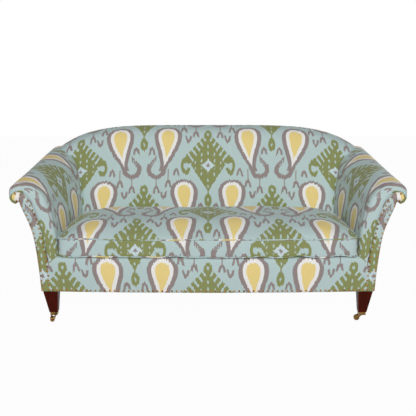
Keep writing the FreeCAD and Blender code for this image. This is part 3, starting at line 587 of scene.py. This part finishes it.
def armSpot(s, t):
    point = onLine(armLine, s)
    inner = Vector((point.z, point.w))
    outer = Vector((point.x, point.y))
    share, inset, depth = armProfile(t)
    way = inner - outer
    reach = way.length
    outer = outer + way / reach * min(inset, reach * 0.45)
    spot = outer.lerp(inner, share)
    if depth < 12:
        depth += arm["footBack"] * (1 - eased(spot.y, arm["footLow"], arm["footHigh"]))
    # the cloth is gathered round the scroll
    gather = eased(s, 0.50, 0.66) * (1 - eased(depth, 12.0, 34.0)) * (1 - eased(share, 0.80, 1.0))
    depth += arm["pleatDeep"] * gather * abs(math.sin(math.pi * arm["pleats"] * s))
    place = armPlace(spot.x, max(depth, 0.0), spot.y)
    place.y += min(depth, 0.0)
    swell = ripple(place, 170.0, 2.4) + ripple(place, 60.0, 0.8, 5.0)
    # the unevenness stands square to the outline
    if depth > 0:
        normal = onLine(armLine, s + 0.01) - onLine(armLine, s - 0.01)
        place.x -= normal.y / max(1e-6, normal.xy.length) * swell
        place.z += normal.x / max(1e-6, normal.xy.length) * swell
    return place


def armCloth(s, t):
    share, inset, depth = armProfile(t)
    point = onLine(armLine, s)
    reach = (Vector((point.z, point.w)) - Vector((point.x, point.y))).length
    along = depth
    if depth <= arm["edge"] - 0.01:
        along = arm["edge"] - (inset * 1.3 - depth) * 0.5 - inset * 0.5
    return arm["printAcross"] - (along - share * reach), arm["printUp"] + s * armGirth


for side, mirror in sides:
    pad = softPiece(side + "ArmPad", 110, 150, armSpot, armCloth, arm["wall"], mirror=mirror)
    stands(pad, "sofa", "printed_linen", side + "_arm_pad")
print("arms are stuffed")


# facings, inside the nail rows

facing = dict(wall=4.0, puff=3.0, tuck=4.0, printAcross=-782.0, printUp=-239.0)
# inner and outer edge of the strip, from its foot to the scroll's eye
facingOutline = (
    (747, 164, 792, 164), (756.5, 277, 799.5, 277), (767, 390, 811.5, 390),
    (783, 470, 827.5, 468), (808, 556, 860, 554), (834, 611, 872, 586),
    (857, 637, 874, 603), (877, 643.5, 878, 600), (893, 642.5, 886, 598),
    (905, 633.5, 896, 600.5), (909, 621, 905, 608.5),
)
facingLine = smoothLine(facingOutline, 160)[0]


def facingSpot(s, t):
    point = onLine(facingLine, t)
    spot = Vector((point.x, point.y)).lerp(Vector((point.z, point.w)), s)
    edge = min(s, 1 - s) * 45.0
    depth = facing["tuck"] * (1 - eased(edge, 0.0, 5.0)) - facing["puff"] * eased(edge, 4.0, 20.0)
    depth += ripple((spot.x, 0.0, spot.y), 80.0, 0.8)
    return Vector((spot.x, sofa["front"] + depth, spot.y))


def facingCloth(s, t):
    spot = facingSpot(s, t)
    return spot.x + facing["printAcross"], spot.z + facing["printUp"]


for side, mirror in sides:
    panel = softPiece(side + "ArmFacing", 16, 120, facingSpot, facingCloth, facing["wall"], mirror=mirror)
    stands(panel, "sofa", "printed_linen", side + "_arm_facing")


# back

back = dict(wall=10.0, half=805.0, crease=42.0, creaseDeep=16.0, farAside=2000.0, printUp=-382.0)
backOutline = (
    (520, 292), (521, 333), (525, 400), (541, 500), (570, 602), (606, 700),
    (634, 784), (652, 818), (680, 845), (724, 860), (764, 858), (798, 839),
    (817, 812), (820, 790), (813, 762), (786, 744),
)
backLine, backGirth = smoothLine(backOutline, 240)


def armInside(z, depth):
    # where the inside of the arm stands at a height and depth
    rise = riseAt(depth)
    for point in armLine[1:150]:
        if point.y >= z - rise:
            return point.x - toeAt(depth)
    return back["farAside"]


def backSpot(s, t):
    x = back["half"] * (2 * s - 1)
    point = onLine(backLine, t)
    depth, z = point.x, point.y
    z -= archFall(x) * fallShare(z)
    # the pad rolls away from the arms
    if t < 0.62:
        gap = armInside(z, depth) - abs(x)
        if gap < back["crease"]:
            k = 1 - max(0.0, gap) / back["crease"]
            depth += back["creaseDeep"] * (1 - math.sqrt(max(0.0, 1 - k * k)))
    place = Vector((x, sofa["front"] + depth, z))
    place.y -= ripple(place, 210.0, 3.0, 2.0) + ripple(place, 70.0, 0.8, 7.0)
    return place


def backCloth(s, t):
    return back["half"] * (2 * s - 1), back["printUp"] + t * backGirth


pad = softPiece("backPad", 200, 110, backSpot, backCloth, back["wall"])
stands(pad, "sofa", "printed_linen", "back_pad")
print("the back is stuffed")


# covered front under the cushion

border = dict(half=757.0, wall=6.0, seamDrop=24.0, dropFrom=708.0, dropTo=752.0, lip=14.0, lipDeep=16.0,
              lean=0.013, swell=2.5, clothHigh=184.0, printUp=-115.0)


def borderSpot(s, t):
    x = border["half"] * (2 * s - 1)
    lip = border["lip"]
    top = sofa["deckTop"] - border["seamDrop"] * eased(abs(x), border["dropFrom"], border["dropTo"])
    along = t * (top - sofa["baseUnder"] + lip)
    face = top - lip - sofa["baseUnder"]
    if along <= face:
        depth, z = 0.0, sofa["baseUnder"] + along
    else:
        angle = (along - face) / lip * math.pi / 2
        depth, z = border["lipDeep"] * (1 - math.cos(angle)) * 1.6, top - lip + lip * math.sin(angle)
    # the ends follow the facings' leaning inner edges
    x *= 1 + border["lean"] * (z - sofa["baseUnder"]) / 170.0
    swell = border["swell"] * math.sin(math.pi * held((z - sofa["baseUnder"] - 12.0) / 150.0))
    depth -= bowAt(x) + swell * eased(border["half"] - abs(x), 0.0, 60.0)
    place = Vector((x, sofa["front"] + depth, z))
    place.y += ripple(place, 130.0, 1.6, 9.0)
    return place


def borderCloth(s, t):
    return border["half"] * (2 * s - 1), sofa["baseUnder"] + t * border["clothHigh"] + border["printUp"]


pad = softPiece("frontBorder", 220, 36, borderSpot, borderCloth, border["wall"])
stands(pad, "sofa", "printed_linen", "front_border")
print("the front is covered")


# outside panels and rear ends

outside = dict(wall=3.0, front=2.0, armTop=579.0, backTop=743.0, backHalf=790.0, puff=1.2, tuck=2.0,
               armPrint=(725.0, 120.0, 430.0), backPrint=585.0, printUp=-500.0)
outsideArmLine = ((792, 60), (792, 163), (800, 300), (812, 398), (834, 495),
                  (869, 577), (898, 690), (903, 720))
outsideBackLine = ((730, 60), (730, 163), (732, 290), (736, 420), (746, 600),
                   (770, 740), (775, 760))


def lineAt(line, height):
    # aside or depth of a panel's line at a height
    for (low, z0), (high, z1) in zip(line, line[1:]):
        if height <= z1:
            return low + (high - low) * (height - z0) / (z1 - z0)
    return line[-1][0]


def outsideArmX(z, depth):
    return lineAt(outsideArmLine, z - riseAt(depth)) - toeAt(depth)


def stuffedAt(edge):
    # the panels swell a little, and are tucked in at their edges
    return outside["puff"] * eased(edge, 0.0, 30.0) - outside["tuck"] * (1 - eased(edge, 0.0, 5.0))


def outsideArmSpot(s, t):
    depth = outside["front"] + 720.0 * s
    # height and depth depend on each other, and settle in a few rounds
    for _ in range(3):
        z = sofa["baseUnder"] + 0.5 + (outside["armTop"] + riseAt(depth) - sofa["baseUnder"]) * t
        depth = outside["front"] + (lineAt(outsideBackLine, z) - 3.0) * s
    edge = min(s * 700.0, (1 - s) * 700.0, t * 400.0)
    place = Vector((outsideArmX(z, depth), sofa["front"] + depth, z))
    place.x += stuffedAt(edge) + ripple(place, 160.0, 1.0)
    return place


def outsideArmCloth(s, t):
    wide, start, high = outside["armPrint"]
    return s * wide + start, t * high + outside["printUp"]


def outsideBackSpot(s, t):
    nominal = sofa["baseUnder"] + 0.5 + (outside["backTop"] - sofa["baseUnder"]) * t
    depth = lineAt(outsideBackLine, nominal)
    share = fallShare(nominal)
    half = outside["backHalf"]
    for _ in range(4):
        half = outsideArmX(nominal - archFall(half) * share, depth)
    x = (half + 1.0) * (2 * s - 1)
    depth += stuffedAt(min(s, 1 - s) * 1500.0)
    place = Vector((x, sofa["front"] + depth, nominal - archFall(x) * share))
    place.y += ripple(place, 200.0, 1.4)
    return place


def outsideBackCloth(s, t):
    return outside["backHalf"] * (2 * s - 1), t * outside["backPrint"] + outside["printUp"]


for side, mirror in sides:
    panel = softPiece(side + "OutsideArm", 80, 60, outsideArmSpot, outsideArmCloth, outside["wall"],
                      mirror=mirror)
    stands(panel, "sofa", "printed_linen", side + "_outside_arm")
panel = softPiece("outsideBack", 150, 70, outsideBackSpot, outsideBackCloth, outside["wall"], True)
stands(panel, "sofa", "printed_linen", "outside_back")


patch = dict(thick=4.0, soft=1.2, printUp=-0.42, armFrom=0.30, armBeyond=806.0, backFrom=0.52,
             backClose=(755.0, 620.0))


def only(kind, geometry):
    return [item for item in geometry if isinstance(item, kind)]


def endPatch(name, node, outline, way):
    # the outline of a covered end made a face, given its thickness and a soft edge, on both sides of the sofa
    bm = bmesh.new()
    face = bm.faces.new([bm.verts.new(Vector(point) * mm) for point in outline])
    grown = bmesh.ops.extrude_face_region(bm, geom=[face])["geom"]
    bmesh.ops.translate(bm, vec=Vector(way) * patch["thick"] * mm, verts=only(bmesh.types.BMVert, grown))
    bmesh.ops.recalc_face_normals(bm, faces=bm.faces)
    bmesh.ops.bevel(bm, geom=list(bm.edges), offset=patch["soft"] * mm, segments=2, affect="EDGES",
                    profile=0.5, material=-1)
    bmesh.ops.mirror(bm, geom=list(bm.verts) + list(bm.edges) + list(bm.faces), axis="X", merge_dist=-1.0)
    bmesh.ops.recalc_face_normals(bm, faces=bm.faces)
    layer = bm.loops.layers.uv.new("cloth")
    for face in bm.faces:
        for loop in face.loops:
            spot = loop.vert.co
            loop[layer].uv = (spot.x + spot.y, spot.z + patch["printUp"])
    piece = finished(name, bm, "linen", smooth=False)
    stands(piece, "sofa", "printed_linen", node)


def endOf(line, start, count):
    return [onLine(line, start + (1 - start) * k / (count - 1)) for k in range(count)]


def armEndOutline():
    line = endOf(armLine, patch["armFrom"], 40)
    outline = [armPlace(point.x, sofa["armEnd"], point.y) for point in line]
    x = patch["armBeyond"]
    outline = [point for point in outline if point.x > x]
    return outline + [Vector((x, point.y, point.z)) for point in (outline[-1], outline[0])]


def backEndOutline():
    outline = []
    for point in endOf(backLine, patch["backFrom"], 44):
        z = point.y - sofa["archDrop"] * fallShare(point.y)
        outline.append(Vector((back["half"], sofa["front"] + point.x, z)))
    depth, z = patch["backClose"]
    return outline + [Vector((back["half"], sofa["front"] + depth, z))]


endPatch("armRearEnds", "arm_rear_ends", armEndOutline(), (0.0, 1.0, 0.0))
endPatch("backRollEnds", "back_roll_ends", backEndOutline(), (1.0, 0.0, 0.0))
print("the outsides are covered")


# loose cushion

cushion = dict(near=-4.0, far=517.2, half=708.2, corner=34.0, foot=333.3, edge=89.0, crown=62.0,
               across=150, deep=58, boxRows=9, lowSeam=5.5, seamWaver=9.0, topWaver=3.0, lumps=13.0,
               coreInside=9.0, pressure=4.0, frames=18, furthest=15.0, printUp=375.0)
pipe = dict(radius=3.2, out=1.8, around=520, sides=8, ahead=0.0015, lowPrint=90.0, topPrint=300.0)


def cushionPlan(a, b):
    # a and b run from -1 to 1 over the cushion; the corners are rounded and the front bows out
    halfDeep = (cushion["far"] - cushion["near"]) / 2
    halfWide = cushion["half"]
    r = cushion["corner"]
    x, y = a * halfWide, b * halfDeep
    cornerX, cornerY = abs(x) - (halfWide - r), abs(y) - (halfDeep - r)
    if cornerX > 0 and cornerY > 0:
        kx, ky = cornerX / r, cornerY / r
        x = math.copysign(halfWide - r + r * kx * math.sqrt(1 - ky * ky / 2), x)
        y = math.copysign(halfDeep - r + r * ky * math.sqrt(1 - kx * kx / 2), y)
    depth = cushion["near"] + halfDeep + y
    x *= 1 - toeAt(depth) / halfWide
    depth -= (bowAt(x) - bowAt(cushion["half"])) * (1 - b) / 2
    return x, depth


def seamHeight(x, depth, low):
    # the top seam is nearly straight, the bottom one wavers
    if low:
        return cushion["foot"] + cushion["lowSeam"] + ripple((x, depth, 0.0), 95.0, cushion["seamWaver"], 3.0)
    return cushion["foot"] + cushion["edge"] + ripple((x, depth, 0.0), 160.0, cushion["topWaver"], 8.0)


def cushionForm(shrink=0.0):
    # two crowned faces with a boxing between them: the vertices keep their height from 0 to 1 in a layer
    bm = bmesh.new()
    nx, ny = cushion["across"], cushion["deep"]
    bmesh.ops.create_grid(bm, x_segments=nx, y_segments=ny, size=1.0)
    layer = bm.loops.layers.uv.new("cloth")
    level = bm.verts.layers.float.new("level")
    for vert in bm.verts:
        vert[level] = 1.0
    under = bmesh.ops.duplicate(bm, geom=list(bm.faces))["geom"]
    for vert in only(bmesh.types.BMVert, under):
        vert[level] = 0.0
        vert.co.z = -1.0
    bmesh.ops.reverse_faces(bm, faces=only(bmesh.types.BMFace, under))
    rim = [edge for edge in bm.edges if edge.is_boundary and edge.verts[0].co.z > -0.5]
    for row in range(cushion["boxRows"]):
        grown = bmesh.ops.extrude_edge_only(bm, edges=rim)["geom"]
        for vert in only(bmesh.types.BMVert, grown):
            vert[level] = 1.0 - (row + 1) / cushion["boxRows"]
            vert.co.z = -(row + 1) / cushion["boxRows"]
        rim = only(bmesh.types.BMEdge, grown)
    bmesh.ops.remove_doubles(bm, verts=bm.verts, dist=1e-5)
    bmesh.ops.recalc_face_normals(bm, faces=bm.faces)
    for face in bm.faces:
        middle = face.calc_center_median()
        boxed = -0.999 < middle.z < -0.001
        endSide = boxed and abs(abs(middle.x) - 1) < 1e-4
        for loop in face.loops:
            a, b = loop.vert.co.x, loop.vert.co.y
            x, depth = cushionPlan(a, b)
            down = -loop.vert.co.z * cushion["edge"] if boxed else 0.0
            if endSide:
                x += math.copysign(down, x)
            elif boxed:
                depth += math.copysign(down, b)
            loop[layer].uv = (x * mm, (depth + cushion["printUp"]) * mm)
    pinned = []
    bm.verts.index_update()
    for vert in bm.verts:
        a, b, high = vert.co.x, vert.co.y, vert[level]
        onRim = max(abs(a), abs(b)) > 1 - 1e-6
        x, depth = cushionPlan(a, b)
        top = seamHeight(x, depth, False)
        low = seamHeight(x, depth, True)
        if high > 0.999 and not onRim:
            dome = max(0.0, (1 - abs(a) ** 7) * (1 - abs(b) ** 2.6)) ** 0.55
            top += cushion["crown"] * dome + ripple((x, depth, 0.0), 190.0, cushion["lumps"], 1.0) * dome
        if high < 0.001 and not onRim:
            low = cushion["foot"] + cushion["lowSeam"] * (1 - eased(1 - max(abs(a), abs(b)), 0.0, 0.10)) + 0.3
        if onRim and (high > 0.999 or high < 0.001):
            pinned.append(vert.index)
        vert.co = Vector((x, sofa["front"] + depth, low + (top - low) * high)) * mm
    if shrink:
        bm.normal_update()
        inwards = {vert: vert.normal * -shrink * mm for vert in bm.verts}
        for vert, way in inwards.items():
            vert.co += way
    return bm, pinned


def plump(piece, pinned):
    # air pressure fills the cover between its seams, which stay where they are sewn
    mesh = piece.data
    start = [vert.co.copy() for vert in mesh.vertices]
    group = piece.vertex_groups.new(name="seams")
    group.add(pinned, 1.0, "REPLACE")
    cloth = piece.modifiers.new("cloth", "CLOTH")
    settings = cloth.settings
    settings.quality = 5
    settings.mass = 0.3
    settings.tension_stiffness = settings.compression_stiffness = settings.shear_stiffness = 12.0
    settings.bending_stiffness = 0.3
    settings.use_pressure = True
    settings.uniform_pressure_force = cushion["pressure"]
    settings.effector_weights.gravity = 0.0
    settings.vertex_group_mass = "seams"
    cloth.collision_settings.use_collision = False
    cloth.point_cache.frame_end = cushion["frames"]
    for moment in range(1, cushion["frames"] + 1):
        bpy.context.scene.frame_set(moment)
    ready = piece.evaluated_get(bpy.context.evaluated_depsgraph_get())
    filled = [vert.co.copy() for vert in ready.data.vertices]
    piece.modifiers.remove(cloth)
    piece.vertex_groups.remove(group)
    bpy.context.scene.frame_set(1)
    furthest = cushion["furthest"] * mm
    for vert, before, after in zip(mesh.vertices, start, filled):
        way = after - before
        reach = way.length
        if reach > 0:
            way *= furthest * math.tanh(reach / furthest) / reach
        # it can't swell through what it lies on
        vert.co = before + way
        vert.co.z = max(vert.co.z, min(before.z, (cushion["foot"] + 0.2) * mm))


bm, pinned = cushionForm()
cover = finished("seatCushionCover", bm, "linen")
plump(cover, pinned)
rounding = cover.modifiers.new("rounding", "SUBSURF")
rounding.levels = rounding.render_levels = 1
stands(cover, "seat_cushion", "printed_linen", "seat_cushion_cover")

core = finished("seatCushionCore", cushionForm(cushion["coreInside"])[0], "filling")
stands(core, "seat_cushion", "cushion_filling", "seat_cushion_core")


def rimPlace(s):
    # once round the cushion's rim, -1 to 1 both ways
    wide, deep = cushion["half"], (cushion["far"] - cushion["near"]) / 2
    whole = 4 * (wide + deep)
    run = (s % 1.0) * whole
    if run < 2 * wide:
        return run / wide - 1, -1.0, whole
    run -= 2 * wide
    if run < 2 * deep:
        return 1.0, run / deep - 1, whole
    run -= 2 * deep
    if run < 2 * wide:
        return 1 - run / wide, 1.0, whole
    return -1.0, 1 - (run - 2 * wide) / deep, whole


def seamSpot(s, low):
    x, depth = cushionPlan(*rimPlace(s)[:2])
    return Vector((x, sofa["front"] + depth, seamHeight(x, depth, low)))


def pipeSpot(s, t, low):
    ahead = (seamSpot(s + pipe["ahead"], low) - seamSpot(s - pipe["ahead"], low)).normalized()
    up = Vector((0, 0, 1))
    out = ahead.cross(up).normalized()
    angle = 2 * math.pi * t
    aside = (out * math.cos(angle) + up * math.sin(angle)) * pipe["radius"]
    return seamSpot(s, low) + out * pipe["out"] + aside


def piping():
    bm = bmesh.new()
    for low in (False, True):
        cord = bmesh.new()
        bmesh.ops.create_grid(cord, x_segments=pipe["around"], y_segments=pipe["sides"], size=0.5)
        layer = cord.loops.layers.uv.new("cloth")
        start = pipe["lowPrint"] if low else pipe["topPrint"]
        for face in cord.faces:
            for loop in face.loops:
                s, t = loop.vert.co.x + 0.5, loop.vert.co.y + 0.5
                run = rimPlace(0)[2] * s
                loop[layer].uv = (run * mm, (run * 0.2 + t * 20.0 + start) * mm)
        for vert in cord.verts:
            vert.co = pipeSpot(vert.co.x + 0.5, vert.co.y + 0.5, low) * mm
        bmesh.ops.remove_doubles(cord, verts=cord.verts, dist=0.00005)
        bmesh.ops.recalc_face_normals(cord, faces=cord.faces)
        part = bpy.data.meshes.new("cord")
        cord.to_mesh(part)
        cord.free()
        bm.from_mesh(part)
        bpy.data.meshes.remove(part)
    return finished("seatCushionPiping", bm, "linen")


stands(piping(), "seat_cushion", "printed_linen", "seat_cushion_piping")
print("the cushion is filled and piped")


# nails

nails = dict(radius=5.3, height=3.0, sunk=0.9)


def nailHeads(name, node):
    # a dome for each nail of the frame, facing the way that its own head does
    source = bmesh.new()
    source.from_mesh(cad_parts[node].data)
    bmesh.ops.remove_doubles(source, verts=source.verts, dist=1e-5)
    bm = bmesh.new()
    seen = set()
    for first in source.verts:
        if first in seen:
            continue
        seen.add(first)
        island, fresh = [], [first]
        while fresh:
            vert = fresh.pop()
            island.append(vert)
            for edge in vert.link_edges:
                other = edge.other_vert(vert)
                if other not in seen:
                    seen.add(other)
                    fresh.append(other)
        middle = sum((vert.co for vert in island), Vector()) / len(island)
        tip = min(island, key=lambda vert: (vert.co - middle).length)
        outwards = (tip.co - middle).normalized()
        turn = outwards.to_track_quat("Z", "Y").to_matrix().to_4x4()
        size = Matrix.Diagonal((nails["radius"] * mm, nails["radius"] * mm, nails["height"] * mm, 1.0))
        base = middle - outwards * nails["sunk"] * mm
        bmesh.ops.create_uvsphere(bm, u_segments=10, v_segments=6, radius=1.0,
                                  matrix=Matrix.Translation(base) @ turn @ size)
    source.free()
    stands(finished(name, bm, "nailBrass"), "sofa", "antique_brass", node)


for name, node in (("rightFacingNails", "right_facing_nails"), ("leftFacingNails", "left_facing_nails"),
                   ("baseNails", "base_nails")):
    nailHeads(name, node)
print("nails are in")


# platform and lining

def flatCloth(wide, long):
    return lambda s, t: (wide * s, long * t)


platform = dict(near=33.3, far=521.0, half=710.0, wall=25.0, below=0.3, tuck=4.0, edge=0.12)


def platformSpot(s, t):
    depth = platform["near"] + (platform["far"] - platform["near"]) * t
    half = platform["half"] - toeAt(depth)
    edge = min(s, 1 - s, t, 1 - t)
    z = sofa["deckTop"] - platform["below"] - platform["tuck"] * (1 - eased(edge, 0.0, platform["edge"]))
    return Vector((half * (2 * s - 1), sofa["front"] + depth, z))


deck = softPiece("seatPlatform", 90, 40, platformSpot, flatCloth(1420.0, 490.0), platform["wall"],
                 finish="platformCloth")
stands(deck, "sofa", "platform_cloth", "seat_deck")

lining = dict(half=785.0, near=7.0, far=724.0, sag=1.2, above=1.4, wall=0.8)


def liningSpot(s, t):
    depth = lining["near"] + (lining["far"] - lining["near"]) * t
    half = lining["half"] - toeAt(depth)
    sag = lining["sag"] * eased(min(s, 1 - s) * 10, 0, 1) * eased(min(t, 1 - t) * 6, 0, 1)
    return Vector((half * (2 * s - 1), sofa["front"] + depth, sofa["baseUnder"] + lining["above"] - sag))


under = softPiece("dustCover", 60, 30, liningSpot, flatCloth(1500.0, 717.0), lining["wall"], True,
                  finish="lining")
stands(under, "sofa", "black_lining", "dust_cover")


# legs and castors, the frame's own shapes with their edges eased

easing = dict(leg=1.8, horn=0.4, wheel=0.5, cup=0.5, flat=1.0, sharp=40.0)


def softened(name, body, slot, finish, nodes, width):
    bm = bmesh.new()
    for node in nodes:
        bm.from_mesh(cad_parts[node].data)
    bmesh.ops.remove_doubles(bm, verts=bm.verts, dist=1e-6)
    bmesh.ops.dissolve_limit(bm, angle_limit=math.radians(easing["flat"]), verts=bm.verts, edges=bm.edges)
    sharp = [edge for edge in bm.edges
             if len(edge.link_faces) == 2 and edge.calc_face_angle() > math.radians(easing["sharp"])]
    bmesh.ops.bevel(bm, geom=sharp, offset=width * mm, segments=2, affect="EDGES", profile=0.5,
                    material=-1, clamp_overlap=True)
    stands(finished(name, bm, finish, smooth=False), body, slot, *nodes)


for corner in ("front_left", "front_right", "back_left", "back_right"):
    name = corner.split("_")[0] + corner.split("_")[1].capitalize()
    softened(name + "Leg", "sofa", "mahogany", "mahogany", [corner + "_leg"], easing["leg"])
    softened(name + "CastorHorn", corner + "_castor_swivel", "antique_brass", "castorBrass",
             [corner + "_castor_horn"], easing["horn"])
    softened(name + "CastorWheel", corner + "_castor_roller", "antique_brass", "castorBrass",
             [corner + "_castor_wheel"], easing["wheel"])
softened("castorCups", "sofa", "antique_brass", "castorBrass", ["castor_cups"], easing["cup"])
print("legs and castors stand")

# pieces that show as the frame draws them
asDrawn = dict(
    beech=("back_seat_rail", "back_top_rail", "back_tuck_rail", "back_uprights", "corner_blocks",
           "front_seat_rail", "left_arm_front_post", "right_arm_front_post", "left_arm_top_rail",
           "right_arm_top_rail", "left_arm_tuck_rail", "right_arm_tuck_rail", "left_back_post",
           "right_back_post", "left_seat_rail", "right_seat_rail"),
    jute=("seat_webbing", "back_webbing"),
    hessian=("seat_canvas",),
    steel=("seat_springs", "back_springs"),
    castorBrass=("castor_screws", "front_left_castor_axle", "front_right_castor_axle",
                 "back_left_castor_axle", "back_right_castor_axle"),
)
for finish, names in asDrawn.items():
    for name in names:
        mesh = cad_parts[name].data
        mesh.materials.clear()
        mesh.materials.append(finishes[finish])


# floor, backdrop and lamps: each lamp has its place, what it is aimed at, its size and its power

lamps = dict(air=0.12, areas=(
    ("keyLamp", (0.6, -7.4, 3.8), (0.0, 0.0, 0.45), (1.8, 1.8), 412.0),
    ("fillLamp", (-3.4, -4.6, 1.8), (0.0, 0.0, 0.5), (2.0, 2.0), 12.0),
    ("topLamp", (0.0, 0.4, 3.4), (0.0, 0.0, 0.5), (2.5, 1.5), 3.0),
    ("rearLamp", (4.4, 5.6, 2.0), (0.0, 0.3, 0.4), (1.8, 1.8), 90.0),
))
floorForm = dict(half=6.0, grey=0.42, glow=0.97)


def seenOrMirrored(graph):
    # floor and air are white to the camera and in mirrors, and darker as a source of light
    seen = graph.node("ShaderNodeLightPath", None, None, 0)
    return seen.most(graph.node("ShaderNodeLightPath", None, None, 3))


def plainFloor():
    ground = Finish("studioWhite", Roughness=0.9, Base_Color=(*[floorForm["grey"]] * 3, 1.0))
    glow = ground.node("ShaderNodeEmission", None, {"Color": (1.0, 1.0, 1.0, 1.0), "Strength": 1.0})
    share = seenOrMirrored(ground) * floorForm["glow"]
    lit = Term(ground, ground.shader.outputs[0])
    both = ground.node("ShaderNodeMixShader", None, {0: share, 1: lit, 2: glow})
    ground.tree.links.new(both.socket, ground.tree.nodes["Material Output"].inputs["Surface"])
    return ground.material


def setStudio():
    bm = bmesh.new()
    bmesh.ops.create_grid(bm, x_segments=2, y_segments=2, size=floorForm["half"])
    finished("floor", bm, "studioWhite", smooth=False)
    world = bpy.data.worlds.new("studio")
    bpy.context.scene.world = world
    world.use_nodes = True
    graph = Graph(world.node_tree)
    level = graph.node("ShaderNodeMix", None, {0: seenOrMirrored(graph), 2: lamps["air"], 3: 1.0})
    air = graph.tree.nodes["Background"]
    air.inputs["Color"].default_value = (1.0, 1.0, 1.0, 1.0)
    graph.tree.links.new(level.socket, air.inputs["Strength"])
    for name, place, aim, size, power in lamps["areas"]:
        lamp = linked(name, bpy.data.lights.new(name, "AREA"))
        lamp.data.shape = "RECTANGLE"
        lamp.data.size, lamp.data.size_y = size
        lamp.data.energy = power
        lamp.location = place
        lamp.rotation_euler = (Vector(aim) - Vector(place)).to_track_quat("-Z", "Y").to_euler()


finishes["studioWhite"] = plainFloor()
setStudio()
bpy.context.scene.view_settings.view_transform = "Standard"
